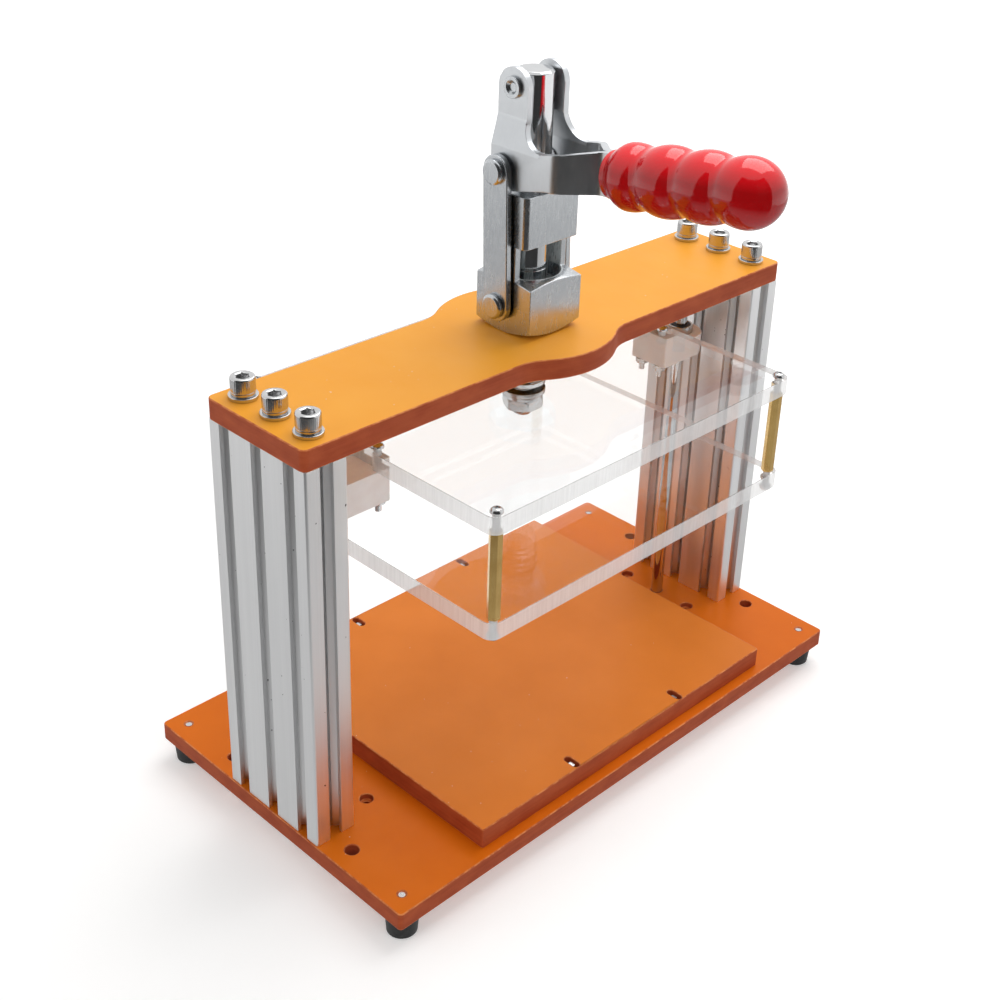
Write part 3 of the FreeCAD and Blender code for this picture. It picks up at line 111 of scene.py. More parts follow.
def place(tree, stretch=(1, 1, 1)):
    """Coordinates that stay with the piece, in metres, stretched per axis."""
    coordinates = add(tree, "ShaderNodeTexCoord").outputs["Object"]
    return add(tree, "ShaderNodeMapping", {"Vector": coordinates, "Scale": stretch}).outputs[0]


def noise(tree, size, stretch=(1, 1, 1), detail=4.0, roughness=0.55):
    """Noise with features of about the given size in metres."""
    made = add(tree, "ShaderNodeTexNoise", {"Vector": place(tree, stretch), "Scale": 1 / size,
                                            "Detail": detail, "Roughness": roughness})
    return made.outputs["Fac"]


def ramp(tree, value, *stops):
    """A colour ramp. Each stop is a position and a colour or a grey."""
    made = add(tree, "ShaderNodeValToRGB", {"Fac": value})
    elements = made.color_ramp.elements
    while len(elements) < len(stops):
        elements.new(1.0)
    for element, (position, colour) in zip(elements, stops):
        element.position = position
        grey = isinstance(colour, (int, float))
        element.color = (colour, colour, colour, 1) if grey else (*colour, 1)
    return made.outputs["Color"]


MIX_FACTOR, MIX_FIRST, MIX_SECOND = 0, 6, 7
MIX_RESULT = 2


def mix(tree, factor, first, second):
    """Two colours mixed by a factor."""
    made = add(tree, "ShaderNodeMix", data_type="RGBA")
    for index, value in ((MIX_FACTOR, factor), (MIX_FIRST, first), (MIX_SECOND, second)):
        if isinstance(value, bpy.types.NodeSocket):
            tree.links.new(value, made.inputs[index])
        elif index == MIX_FACTOR:
            made.inputs[index].default_value = value
        else:
            made.inputs[index].default_value = (*value, 1)
    return made.outputs[MIX_RESULT]


def calculate(tree, operation, first, second=0.0, third=0.0):
    """One step of arithmetic on values."""
    made = add(tree, "ShaderNodeMath", {0: first, 1: second, 2: third}, operation=operation)
    return made.outputs[0]


def bump(tree, height, distance, strength):
    """A normal that is tilted by the slopes of a height, whose full range is the distance in metres."""
    inputs = {"Height": height, "Distance": distance, "Strength": strength}
    return add(tree, "ShaderNodeBump", inputs).outputs["Normal"]


def upward(tree, normal="Normal"):
    """How far the surface looks up: 1 straight up, 0 sideways, -1 straight down."""
    direction = add(tree, "ShaderNodeNewGeometry").outputs[normal]
    return add(tree, "ShaderNodeSeparateXYZ", {0: direction}).outputs["Z"]


LEVEL_FACE = 0.85


def facing_up(tree):
    """1 on faces that look up or down, 0 on upright faces."""
    steep = calculate(tree, "ABSOLUTE", upward(tree, "True Normal"))
    return calculate(tree, "GREATER_THAN", steep, LEVEL_FACE)


def light_path(tree, *names):
    """1 for rays of any of the named kinds."""
    path = add(tree, "ShaderNodeLightPath")
    value = path.outputs[names[0]]
    for name in names[1:]:
        value = calculate(tree, "MAXIMUM", value, path.outputs[name])
    return value


# Materials

def bakelite(name, low, high):
    """Orange phenolic board: satin faces with a faint mottle, browner sawn edges with fine layers."""
    material, tree, shader, _ = new_material(name, {"Specular IOR Level": 0.13, "IOR": 1.5})
    mottle = noise(tree, 0.035, detail=4, roughness=0.5)
    face = ramp(tree, mottle, (0.30, low), (0.70, high))
    specks = noise(tree, 0.0016, detail=1, roughness=0.5)
    dusty = noise(tree, 0.020, detail=2)
    dust = calculate(tree, "MULTIPLY", calculate(tree, "GREATER_THAN", specks, 0.80),
                     calculate(tree, "GREATER_THAN", dusty, 0.50))
    face = mix(tree, dust, face, (0.92, 0.75, 0.60))
    layers = noise(tree, 0.0011, stretch=(0.02, 0.02, 1), detail=3)
    side = ramp(tree, layers, (0.25, (0.34, 0.055, 0.016)), (0.75, (0.43, 0.078, 0.026)))
    blotch = noise(tree, 0.012, stretch=(1, 1, 2), detail=4)
    side = mix(tree, ramp(tree, blotch, (0.35, 0.0), (0.75, 0.8)), side, (0.52, 0.110, 0.036))
    up = facing_up(tree)
    colour = mix(tree, up, side, face)
    tree.links.new(colour, shader.inputs["Base Color"])
    scuffs = noise(tree, 0.008, stretch=(1, 0.35, 1), detail=8, roughness=0.7)
    gloss = mix(tree, up, (0.50, 0.50, 0.50), ramp(tree, scuffs, (0.3, 0.30), (0.8, 0.44)))
    tree.links.new(gloss, shader.inputs["Roughness"])
    grain = noise(tree, 0.0006, detail=3)
    tree.links.new(bump(tree, grain, 0.00002, 0.5), shader.inputs["Normal"])
    return material


def aluminium():
    """Satin anodised extrusion: fine draw lines along Z, a few small nicks."""
    material, tree, shader, _ = new_material("satin_aluminium", {"Metallic": 1.0})
    lines = noise(tree, 0.0008, stretch=(1, 1, 0.004), detail=4, roughness=0.7)
    broad = noise(tree, 0.010, stretch=(1, 1, 0.05), detail=3)
    colour = mix(tree, 0.5, ramp(tree, lines, (0.3, (0.84, 0.845, 0.85)), (0.7, (0.93, 0.935, 0.94))),
                 ramp(tree, broad, (0.3, (0.83, 0.83, 0.835)), (0.7, (0.95, 0.95, 0.95))))
    nicks = noise(tree, 0.0016, stretch=(1, 1, 0.6), detail=1)
    colour = mix(tree, calculate(tree, "GREATER_THAN", nicks, 0.80), colour, (0.22, 0.22, 0.23))
    tree.links.new(colour, shader.inputs["Base Color"])
    tree.links.new(ramp(tree, lines, (0.3, 0.34), (0.7, 0.46)), shader.inputs["Roughness"])
    tree.links.new(bump(tree, lines, 0.00003, 0.5), shader.inputs["Normal"])
    return material


def metal(name, dark, light, smooth, rough, size, stretch=(1, 1, 1), depth=0.00001, scratches=0.0):
    """A bare or plated metal whose colour and roughness vary a little, with fine marks in one direction."""
    material, tree, shader, _ = new_material(name, {"Metallic": 1.0})
    marks = noise(tree, size, stretch=stretch, detail=5, roughness=0.65)
    cloud = noise(tree, 0.006, detail=3)
    colour = mix(tree, 0.5, ramp(tree, marks, (0.3, dark), (0.7, light)),
                 ramp(tree, cloud, (0.3, dark), (0.7, light)))
    if scratches:
        fine = noise(tree, 0.0009, stretch=(1, 1, 0.06), detail=2)
        colour = mix(tree, ramp(tree, fine, (0.66, 0.0), (0.72, scratches)), colour, (0.92, 0.93, 0.95))
    tree.links.new(colour, shader.inputs["Base Color"])
    tree.links.new(ramp(tree, marks, (0.3, smooth), (0.7, rough)), shader.inputs["Roughness"])
    tree.links.new(bump(tree, marks, depth, 0.6), shader.inputs["Normal"])
    return material


def acrylic():
    """Clear acrylic with sawn, frosted edges. Shadow rays pass through it.

    A face that is seen from inside the plate is clear, so that the far edges don't darken the near ones."""
    material, tree, glass, output = new_material(
        "clear_acrylic", {"Base Color": (0.985, 0.99, 0.99, 1), "IOR": 1.49, "Roughness": 0.0,
                          "Transmission Weight": 1.0})
    saw = noise(tree, 0.0012, stretch=(1, 1, 0.05), detail=3)
    haze = noise(tree, 0.02, detail=3)
    white = ramp(tree, haze, (0.3, (0.94, 0.94, 0.94)), (0.7, (1.0, 1.0, 1.0)))
    frost = add(tree, "ShaderNodeBsdfPrincipled",
                {"IOR": 1.3, "Base Color": white, "Roughness": ramp(tree, saw, (0.3, 0.35), (0.7, 0.55)),
                 "Normal": bump(tree, saw, 0.00006, 0.6)})
    clear = add(tree, "ShaderNodeBsdfTransparent", {"Color": (0.99, 0.99, 0.99, 1)})
    shaded = add(tree, "ShaderNodeBsdfTransparent", {"Color": (0.94, 0.95, 0.95, 1)})

    def blend(factor, first, second):
        return add(tree, "ShaderNodeMixShader", {0: factor, 1: first.outputs[0], 2: second.outputs[0]})

    edges = blend(ramp(tree, saw, (0.3, 0.32), (0.7, 0.40)), frost, clear)
    faces = blend(facing_up(tree), edges, glass)
    far_side = add(tree, "ShaderNodeNewGeometry").outputs["Backfacing"]
    straight = calculate(tree, "MULTIPLY", far_side, light_path(tree, "Is Camera Ray"))
    whole = blend(light_path(tree, "Is Shadow Ray"), blend(straight, faces, clear), shaded)
    tree.links.new(whole.outputs[0], output.inputs["Surface"])
    return material


def milky_plastic():
    """Milled milky plastic, slightly translucent, with faint mill marks."""
    material, tree, shader, _ = new_material(
        "milky_plastic", {"Subsurface Weight": 0.35, "Subsurface Radius": (0.004, 0.003, 0.0025),
                          "Subsurface Scale": 1.0, "IOR": 1.5})
    cloud = noise(tree, 0.006, detail=3)
    tree.links.new(ramp(tree, cloud, (0.3, (0.88, 0.80, 0.77)), (0.7, (0.93, 0.87, 0.84))),
                   shader.inputs["Base Color"])
    marks = noise(tree, 0.0012, stretch=(1, 1, 0.2), detail=3)
    tree.links.new(ramp(tree, marks, (0.3, 0.42), (0.7, 0.55)), shader.inputs["Roughness"])
    tree.links.new(bump(tree, marks, 0.00003, 0.5), shader.inputs["Normal"])
    return material


def rubber():
    """Matt black rubber with a little dust."""
    material, tree, shader, _ = new_material("black_rubber", {"Specular IOR Level": 0.4})
    dust = noise(tree, 0.002, detail=6, roughness=0.7)
    tree.links.new(ramp(tree, dust, (0.4, (0.012, 0.013, 0.014)), (0.9, (0.06, 0.06, 0.06))),
                   shader.inputs["Base Color"])
    tree.links.new(ramp(tree, dust, (0.3, 0.42), (0.8, 0.62)), shader.inputs["Roughness"])
    tree.links.new(bump(tree, dust, 0.00004, 0.5), shader.inputs["Normal"])
    return material


def red_plastic():
    """Glossy moulded plastic with a slightly wavy skin, in a lighter red on its upper side: painted light
    from above.
    """
    material, tree, shader, _ = new_material("red_grip_plastic", {"IOR": 1.50, "Specular IOR Level": 0.6})
    depth = noise(tree, 0.02, detail=2)
    deep = ramp(tree, depth, (0.3, (0.39, 0.0005, 0.002)), (0.7, (0.45, 0.001, 0.003)))
    # painted light: the red turns lighter where the surface looks up, as if lit from above
    painted_top_light = ramp(tree, upward(tree), (0.30, 0.0), (0.85, 1.0))
    tree.links.new(mix(tree, painted_top_light, deep, (0.97, 0.006, 0.014)), shader.inputs["Base Color"])
    scuffs = noise(tree, 0.004, stretch=(1, 0.4, 1), detail=8, roughness=0.75)
    tree.links.new(ramp(tree, scuffs, (0.35, 0.07), (0.85, 0.18)), shader.inputs["Roughness"])
    wave = noise(tree, 0.006, detail=2)
    tree.links.new(bump(tree, wave, 0.00008, 0.35), shader.inputs["Normal"])
    return material


# Studio. The world lights the object at WORLD_FILL and shows as white where it is seen.

WORLD_FILL = 0.45
FLOOR_HALF = 4.0
FLOOR_NEAR, FLOOR_FAR = 0.35, 1.5
FLOOR_GLOW_NEAR, FLOOR_GLOW_FAR = 0.33, 0.75


def by_distance(tree, near, far, near_value, far_value):
    """A value that runs from one level to another between two distances from the origin."""
    spot = add(tree, "ShaderNodeTexCoord").outputs["Object"]
    reach = add(tree, "ShaderNodeVectorMath", {0: spot}, operation="LENGTH").outputs["Value"]
    inputs = {0: reach, 1: near, 2: far, 3: near_value, 4: far_value}
    return add(tree, "ShaderNodeMapRange", inputs).outputs[0]


def studio_floor():
    """Pale floor that reads white where the light is full and keeps the shadow."""
    material, tree, shader, output = new_material(
        "studio_floor", {"Base Color": (0.86, 0.85, 0.84, 1), "Roughness": 0.9, "Specular IOR Level": 0.0})
    strength = by_distance(tree, FLOOR_NEAR, FLOOR_FAR, FLOOR_GLOW_NEAR, FLOOR_GLOW_FAR)
    seen = light_path(tree, "Is Camera Ray", "Is Transmission Ray", "Is Glossy Ray")
    glow = add(tree, "ShaderNodeEmission",
               {"Color": (1, 1, 1, 1), "Strength": calculate(tree, "MULTIPLY", seen, strength)})
    both = add(tree, "ShaderNodeAddShader", {0: shader.outputs[0], 1: glow.outputs[0]})
    tree.links.new(both.outputs[0], output.inputs["Surface"])
    return material


SCREEN_MIDDLE = math.radians(-137)
SCREEN_HALF_SPREAD = math.radians(60)
SCREEN_RADIUS = 2.2
SCREEN_TOP = math.radians(60)
SCREEN_GREY = 0.055
SHEET_RADIUS = 0.31
SHEET_FADE = 0.25
SHEET_GREY = 0.60
SHEET_HEIGHT = 0.0005
SHEET_HOLE = 0.001
BEHIND_RADIUS = 3 * SHEET_RADIUS
BEHIND_GREY = SHEET_GREY * 1.15
STAGE_COLUMNS = 48


def reflected_stage(name, rows, middle, half_spread, grey):
    """A ruled surface round the object that only reflections show. Each row is a radius and a height."""
    mesh = bmesh.new()
    grid = []
    for radius, height in rows:
        line = []
        for column in range(STAGE_COLUMNS + 1):
            turn = middle + half_spread * (2 * column / STAGE_COLUMNS - 1)
            line.append(mesh.verts.new((radius * math.cos(turn), radius * math.sin(turn), height)))
        grid.append(line)
    for lower, upper in zip(grid, grid[1:]):
        for column in range(STAGE_COLUMNS):
            mesh.faces.new((lower[column], lower[column + 1], upper[column + 1], upper[column]))
    data = bpy.data.meshes.new(name)
    mesh.to_mesh(data)
    mesh.free()
    material, tree, _, output = new_material(name, {"Base Color": (0, 0, 0, 1), "Roughness": 1.0})
    level = by_distance(tree, SHEET_RADIUS, SHEET_RADIUS + SHEET_FADE, SHEET_GREY, grey)
    cloth = ramp(tree, noise(tree, 0.4, detail=1), (0.3, 0.8), (0.7, 1.0))
    tone = calculate(tree, "MULTIPLY", level, cloth)
    glow = add(tree, "ShaderNodeEmission", {"Color": (1, 1, 1, 1), "Strength": tone})
    tree.links.new(glow.outputs[0], output.inputs["Surface"])
    data.materials.append(material)
    stage = bpy.data.objects.new(name, data)
    scene.collection.objects.link(stage)
    stage.visible_camera = False
    stage.visible_diffuse = False
    stage.visible_shadow = False
    stage.visible_transmission = False


def reflections():
    """A dark screen at the front left and a grey sheet below the object, as metal and gloss show them."""
    top = SCREEN_RADIUS * math.tan(SCREEN_TOP)
    screen = ((SHEET_RADIUS, SHEET_HEIGHT), (SCREEN_RADIUS, SHEET_HEIGHT), (SCREEN_RADIUS, top))
    reflected_stage("dark_screen", screen, SCREEN_MIDDLE, SCREEN_HALF_SPREAD, SCREEN_GREY)
    sheet = ((SHEET_HOLE, SHEET_HEIGHT), (SHEET_RADIUS, SHEET_HEIGHT))
    reflected_stage("grey_sheet", sheet, 0, math.pi, SHEET_GREY)
    behind = ((SHEET_RADIUS, SHEET_HEIGHT), (BEHIND_RADIUS, SHEET_HEIGHT))
    reflected_stage("grey_sheet_behind", behind, SCREEN_MIDDLE + math.pi, math.pi - SCREEN_HALF_SPREAD,
                    BEHIND_GREY)


# Each lamp's name, place, aim, size and power. Only the top lamp shows in reflections.
LAMPS = (
    ("top_lamp", (0.55, 0.12, 1.25), (0, 0, 0.1), 1.1, 10.0),
    ("left_lamp", (-1.30, 0.25, 0.80), (0, 0, 0.12), 0.9, 2.5),
    ("front_lamp", (-0.35, -1.30, 0.90), (0, 0, 0.12), 0.9, 3.0),
)


def studio():
    """Floor, soft lamps and a pale surrounding."""
    world = bpy.data.worlds.new("studio")
    scene.world = world
    world.use_nodes = True
    tree = world.node_tree
    tree.nodes.clear()
    shown = light_path(tree, "Is Camera Ray", "Is Glossy Ray", "Is Transmission Ray")
    strength = calculate(tree, "MULTIPLY_ADD", shown, 1.0 - WORLD_FILL, WORLD_FILL)
    background = add(tree, "ShaderNodeBackground", {"Color": (1, 1, 1, 1), "Strength": strength})
    add(tree, "ShaderNodeOutputWorld", {"Surface": background.outputs[0]})

    ground = bpy.data.meshes.new("floor")
    corners = [(x * FLOOR_HALF, y * FLOOR_HALF, 0) for x, y in ((-1, -1), (1, -1), (1, 1), (-1, 1))]
    ground.from_pydata(corners, [], [(0, 1, 2, 3)])
    ground.materials.append(studio_floor())
    floor = bpy.data.objects.new("floor", ground)
    scene.collection.objects.link(floor)

    reflections()
    for name, where, aim, size, power in LAMPS:
        data = bpy.data.lights.new(name, "AREA")
        data.shape = "SQUARE"
        data.size = size
        data.energy = power
        lamp = bpy.data.objects.new(name, data)
        scene.collection.objects.link(lamp)
        lamp.location = where
        lamp.rotation_mode = "QUATERNION"
        lamp.rotation_quaternion = (Vector(aim) - Vector(where)).to_track_quat("-Z", "Y")
        lamp.visible_glossy = name == "top_lamp"


# The finish of each material slot, and of the nodes that have one of their own

FINISHES = {
    # the bakelite slot's tint is the base board's, darker with painted shade from the boards above it
    "bakelite": bakelite("bakelite_base_painted_shade", (0.73, 0.148, 0.004), (0.79, 0.172, 0.007)),
    "aluminium": aluminium(),
    "stainless": metal("stainless", (0.54, 0.54, 0.545), (0.62, 0.62, 0.62), 0.14, 0.26, 0.0012),
    "ground_steel": metal("ground_steel", (0.58, 0.59, 0.60), (0.64, 0.65, 0.66), 0.06, 0.12, 0.0006,
                          stretch=(0.1, 0.1, 1)),
    "zinc_steel": metal("zinc_plate", (0.50, 0.52, 0.54), (0.56, 0.58, 0.60), 0.20, 0.30, 0.0016,
                        stretch=(1, 1, 0.25), depth=0.000004, scratches=0.2),
    "clear_acrylic": acrylic(),
    "brass": metal("bright_brass", (0.56, 0.35, 0.11), (0.70, 0.48, 0.18), 0.10, 0.20, 0.0010,
                   stretch=(1, 1, 0.15)),
    "milky_plastic": milky_plastic(),
    "black_rubber": rubber(),
    "red_grip": red_plastic(),
}


def arris():
    """Lighter orange in patches on the board's arrises, which are broken by hand: a painted highlight along
    the edges.
    """
    material, tree, shader, _ = new_material("bakelite_arris_painted_highlight", {"Specular IOR Level": 0.3, "IOR": 1.5})
    highlight_patches = noise(tree, 0.004, detail=5, roughness=0.7)
    # painted highlight: the arrises are coloured lighter than the board's faces
    tree.links.new(ramp(tree, highlight_patches, (0.40, (0.50, 0.095, 0.020)), (0.62, (0.80, 0.270, 0.080))),
                   shader.inputs["Base Color"])
    tree.links.new(ramp(tree, highlight_patches, (0.3, 0.35), (0.7, 0.55)), shader.inputs["Roughness"])
    tree.links.new(bump(tree, highlight_patches, 0.00005, 0.6), shader.inputs["Normal"])
    return material


def zinc_window_painted_reflection():
    """Plating on the walls of the clamp's window, less mirror-like and pale bluish: a painted reflection.
    """
    material, tree, shader, _ = new_material("zinc_window_painted_reflection", {"Metallic": 0.35})
    marks = noise(tree, 0.0012, stretch=(1, 1, 0.3), detail=4)
    # painted reflection: a pale bluish colour on walls that are zinc plating like the rest of the block
    tree.links.new(ramp(tree, marks, (0.3, (0.66, 0.72, 0.73)), (0.7, (0.78, 0.83, 0.84))),
                   shader.inputs["Base Color"])
    tree.links.new(ramp(tree, marks, (0.3, 0.22), (0.7, 0.35)), shader.inputs["Roughness"])
    return material


ARRIS_PAINTED_HIGHLIGHT = arris()
WINDOW_PAINTED_REFLECTION = zinc_window_painted_reflection()
OWN_FINISHES = {
    # the carrier and the bridge are the same bakelite as the base in lighter tints: painted light,
    # strongest on the bridge nearest the top lamp, with the carrier between
    "carrier_plate": bakelite("bakelite_carrier", (0.75, 0.202, 0.024), (0.81, 0.228, 0.032)),
    "bridge_plate": bakelite("bakelite_bridge_painted_light", (0.95, 0.388, 0.036), (0.98, 0.425, 0.046)),
}
for side in ("left", "right"):
    OWN_FINISHES[f"{side}_yoke_arm"] = metal(
        f"zinc_{side}_arm", (0.58, 0.60, 0.62), (0.64, 0.66, 0.68), 0.28, 0.38, 0.0016,
        stretch=(1, 1, 0.25), depth=0.000004, scratches=0.1)


def finish_of(node):
    """The node's own finish, or that of its material slot."""
    return OWN_FINISHES.get(node, FINISHES[SLOT_OF[node]])


def dress_solids():
    """Gives every solid of the frame its finish."""
    for node in SLOT_OF:
        solid = frame["nodes"][node]
        if not solid.data.materials:
            solid.data.materials.append(None)
        for index in range(len(solid.data.materials)):
            solid.data.materials[index] = finish_of(node)


# Pieces that stand for solids, with the detail that the solids leave out

NEARLY_FLAT = math.radians(1)
ARRIS_ANGLE = math.radians(28)
CREASE_ANGLE = math.radians(50)
SAME_CORNER = 0.001 * MM


def solid_mesh(node):
    """A copy of the node's mesh, with shared corners."""
    mesh = bmesh.new()
    mesh.from_mesh(frame["nodes"][node].data)
    bmesh.ops.remove_doubles(mesh, verts=mesh.verts, dist=SAME_CORNER)
    return mesh


def separate_boxes(node):
    """Lowest and highest corners of each separate solid of a node."""
    mesh = solid_mesh(node)
    left = set(mesh.verts)
    boxes = []
    while left:
        todo = [left.pop()]
        group = []
        while todo:
            corner = todo.pop()
            group.append(corner.co.copy())
            for edge in corner.link_edges:
                other = edge.other_vert(corner)
                if other in left:
                    left.remove(other)
                    todo.append(other)
        low = Vector([min(point[axis] for point in group) for axis in range(3)])
        high = Vector([max(point[axis] for point in group) for axis in range(3)])
        boxes.append((low, high))
    mesh.free()
    return boxes


def finish_piece(mesh, node, more_finishes=()):
    """Makes the piece that stands for a node: same body, same slot, smooth with weighted normals."""
    name = f"{node}_form"
    data = bpy.data.meshes.new(name)
    for face in mesh.faces:
        face.smooth = True
    mesh.to_mesh(data)
    mesh.free()
    data.set_sharp_from_angle(angle=CREASE_ANGLE)
    for finish in (finish_of(node), *more_finishes):
        data.materials.append(finish)
    piece = bpy.data.objects.new(name, data)
    scene.collection.objects.link(piece)
    weighted = piece.modifiers.new("weighted_normals", "WEIGHTED_NORMAL")
    weighted.keep_sharp = True
    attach(piece, BODY_OF[node])
    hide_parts(node)


def inside(point, box):
    """Whether a point lies inside a box, given as its lowest and highest corners."""
    low, high = box
    return all(low[axis] < point[axis] < high[axis] for axis in range(3))


def round_off(mesh, edges, width, segments, spacing="OFFSET", material=-1):
    """Rounds edges of a mesh, and gives the new faces a material where one is named."""
    bmesh.ops.bevel(mesh, geom=edges, offset=width, offset_type=spacing, segments=segments, profile=0.5,
                    affect="EDGES", clamp_overlap=False, material=material)


def plain_form(node):
    """The node's own shape, with its flat faces in one piece."""
    mesh = solid_mesh(node)
    bmesh.ops.dissolve_limit(mesh, angle_limit=NEARLY_FLAT, verts=mesh.verts, edges=mesh.edges)
    return mesh


def soften(mesh, width, spacing="OFFSET", material=-1):
    """Rounds every arris of a mesh."""
    arrises = [edge for edge in mesh.edges
               if len(edge.link_faces) == 2 and edge.calc_face_angle() > ARRIS_ANGLE]
    round_off(mesh, arrises, width, 2, spacing, material)
    bmesh.ops.recalc_face_normals(mesh, faces=mesh.faces)


def board(node, width):
    """A board of the fixture, with its arrises broken and given a lighter colour, a painted highlight."""
    mesh = plain_form(node)
    soften(mesh, width, material=1)
    # the rounded arrises take the second finish, a painted highlight
    finish_piece(mesh, node, [ARRIS_PAINTED_HIGHLIGHT])


def softened(node, width, spacing="OFFSET"):
    """The node's own shape with rounded arrises."""
    mesh = plain_form(node)
    soften(mesh, width, spacing)
    finish_piece(mesh, node)


# Places on the clamp body: the walls of its window, and the upright edge at the left of its upper block
WINDOW_BOX = (Vector((-12.4, -13.0, 225.9)) * MM, Vector((12.4, 10.4, 247.1)) * MM)
BLOCK_EDGE_BOX = (Vector((-16.0, -14.0, 246.0)) * MM, Vector((-15.0, -12.0, 270.0)) * MM)
BLOCK_EDGE_LENGTH = 10 * MM
BLOCK_ROUNDING = 2.6 * MM


def clamp_body(width):
    """The clamp's block: a rounded left edge on its upper block, and walls in its window that are pale with
    a painted reflection.
    """
    mesh = plain_form("clamp_body")
    block_edges = []
    for edge in mesh.edges:
        first, second = edge.verts
        upright = abs((first.co - second.co).z) > BLOCK_EDGE_LENGTH
        if upright and inside(first.co, BLOCK_EDGE_BOX) and inside(second.co, BLOCK_EDGE_BOX):
            block_edges.append(edge)
    round_off(mesh, block_edges, BLOCK_ROUNDING, 8)
    soften(mesh, width)
    for face in mesh.faces:
        if inside(face.calc_center_median(), WINDOW_BOX):
            # the window's walls take the painted reflection finish
            face.material_index = 1
    finish_piece(mesh, "clamp_body", [WINDOW_PAINTED_REFLECTION])


def turn_rings(mesh, rings, where, count=48):
    """Adds a turned form. Each ring is a height and a radius, or a radius that depends on the angle.

    A form whose first radius is 0 is closed at both ends by a point. Another one is closed to a tube."""
    loops = []
    for height, radius in rings:
        if radius == 0:
            loops.append([mesh.verts.new(where @ Vector((0, 0, height)))])
            continue
        loop = []
        for step in range(count):
            angle = 2 * math.pi * step / count
            r = radius(angle) if callable(radius) else radius
            loop.append(mesh.verts.new(where @ Vector((r * math.cos(angle), r * math.sin(angle), height))))
        loops.append(loop)
    pairs = list(zip(loops, loops[1:]))
    if len(loops[0]) > 1:
        pairs.append((loops[-1], loops[0]))
    for lower, upper in pairs:
        for step in range(count):
            following = (step + 1) % count
            corners = [lower[step % len(lower)], lower[following % len(lower)],
                       upper[following % len(upper)], upper[step % len(upper)]]
            mesh.faces.new(list(dict.fromkeys(corners)))


def hexagon(flats, corner_limit=1.0):
    """Radius of a hexagon by angle, with its corners cut to a circle."""
    def radius(angle):
        turn = angle % (math.pi / 3) - math.pi / 6
        return min(flats / 2 / math.cos(turn), corner_limit)
    return radius


def scaled(radius, factor):
    """A radius by angle, times a factor."""
    return lambda angle: radius(angle) * factor


# Cap screws of 6 mm
CAP_HEAD_RADIUS, CAP_HEAD_HEIGHT = 5 * MM, 6 * MM
CAP_SHANK_RADIUS = 2.7 * MM
CAP_SOCKET_FLATS, CAP_SOCKET_DEPTH = 5 * MM, 3 * MM
CAP_SOCKET_MOUTH = 3.1 * MM
KNURLS, KNURL_DEPTH = 40, 0.06 * MM


def cap_screws():
    """Socket screws with knurled heads."""
    def knurl(angle):
        return CAP_HEAD_RADIUS - KNURL_DEPTH * (0.5 + 0.5 * math.cos(KNURLS * angle))

    socket = hexagon(CAP_SOCKET_FLATS)
    mesh = bmesh.new()
    for low, high in separate_boxes("upright_cap_screws"):
        middle = (low + high) / 2
        top = high.z
        seat = top - CAP_HEAD_HEIGHT
        floor = top - CAP_SOCKET_DEPTH
        rings = (
            (low.z, 0), (low.z, CAP_SHANK_RADIUS), (seat, CAP_SHANK_RADIUS),
            (seat, CAP_HEAD_RADIUS * 0.97), (seat + 0.3 * MM, knurl), (top - 0.75 * MM, knurl),
            (top - 0.55 * MM, CAP_HEAD_RADIUS * 0.985), (top - 0.2 * MM, CAP_HEAD_RADIUS * 0.96),
            (top, CAP_HEAD_RADIUS * 0.90), (top, CAP_SOCKET_MOUTH), (top - 0.25 * MM, scaled(socket, 1.02)),
            (floor, socket), (floor - 0.1 * MM, scaled(socket, 0.8)), (floor - 0.9 * MM, 0),
        )
        turn_rings(mesh, rings, Matrix.Translation((middle.x, middle.y, 0)), count=160)
    finish_piece(mesh, "upright_cap_screws")


def cross_recess(half_length, half_width):
    """Radius of a cross by angle."""
    def bar(along, across):
        least = 0.01
        return min(half_length / max(along, least), half_width / max(across, least))

    def radius(angle):
        across, along = abs(math.sin(angle)), abs(math.cos(angle))
        return max(bar(along, across), bar(across, along))
    return radius


# Pan head screws of 3 mm. The head's profile runs from its underside to its top: height and radius.
PAN_HEAD_HEIGHT = 2 * MM
PAN_SHANK_RADIUS = 1.4 * MM
PAN_PROFILE = ((0, 2.6), (0.15, 2.75), (0.8, 2.72), (1.3, 2.45), (1.7, 2.05), (1.9, 1.75))
CROSS_HALF_LENGTH, CROSS_HALF_WIDTH = 1.5 * MM, 0.38 * MM
CROSS_DEPTH = 1.0 * MM


def pan_screws(node, upside_down=False):
    """Small screws with domed heads and a cross recess, each turned by its own angle."""
    cross = cross_recess(CROSS_HALF_LENGTH, CROSS_HALF_WIDTH)
    mesh = bmesh.new()
    for index, (low, high) in enumerate(separate_boxes(node)):
        middle = (low + high) / 2
        length = high.z - low.z
        head = length - PAN_HEAD_HEIGHT
        rings = [(0, 0), (0, PAN_SHANK_RADIUS), (head, PAN_SHANK_RADIUS)]
        rings += [(head + height * MM, radius * MM) for height, radius in PAN_PROFILE]
        rings += [(length, cross), (length - CROSS_DEPTH, scaled(cross, 0.62)),
                  (length - CROSS_DEPTH - 0.2 * MM, 0)]
        foot = Matrix.Translation((middle.x, middle.y, high.z if upside_down else low.z))
        flip = Matrix.Rotation(math.pi, 4, "X") if upside_down else Matrix()
        turned = Matrix.Rotation(0.9 * index + 0.4, 4, "Z")
        turn_rings(mesh, rings, foot @ flip @ turned, count=96)
    finish_piece(mesh, node)


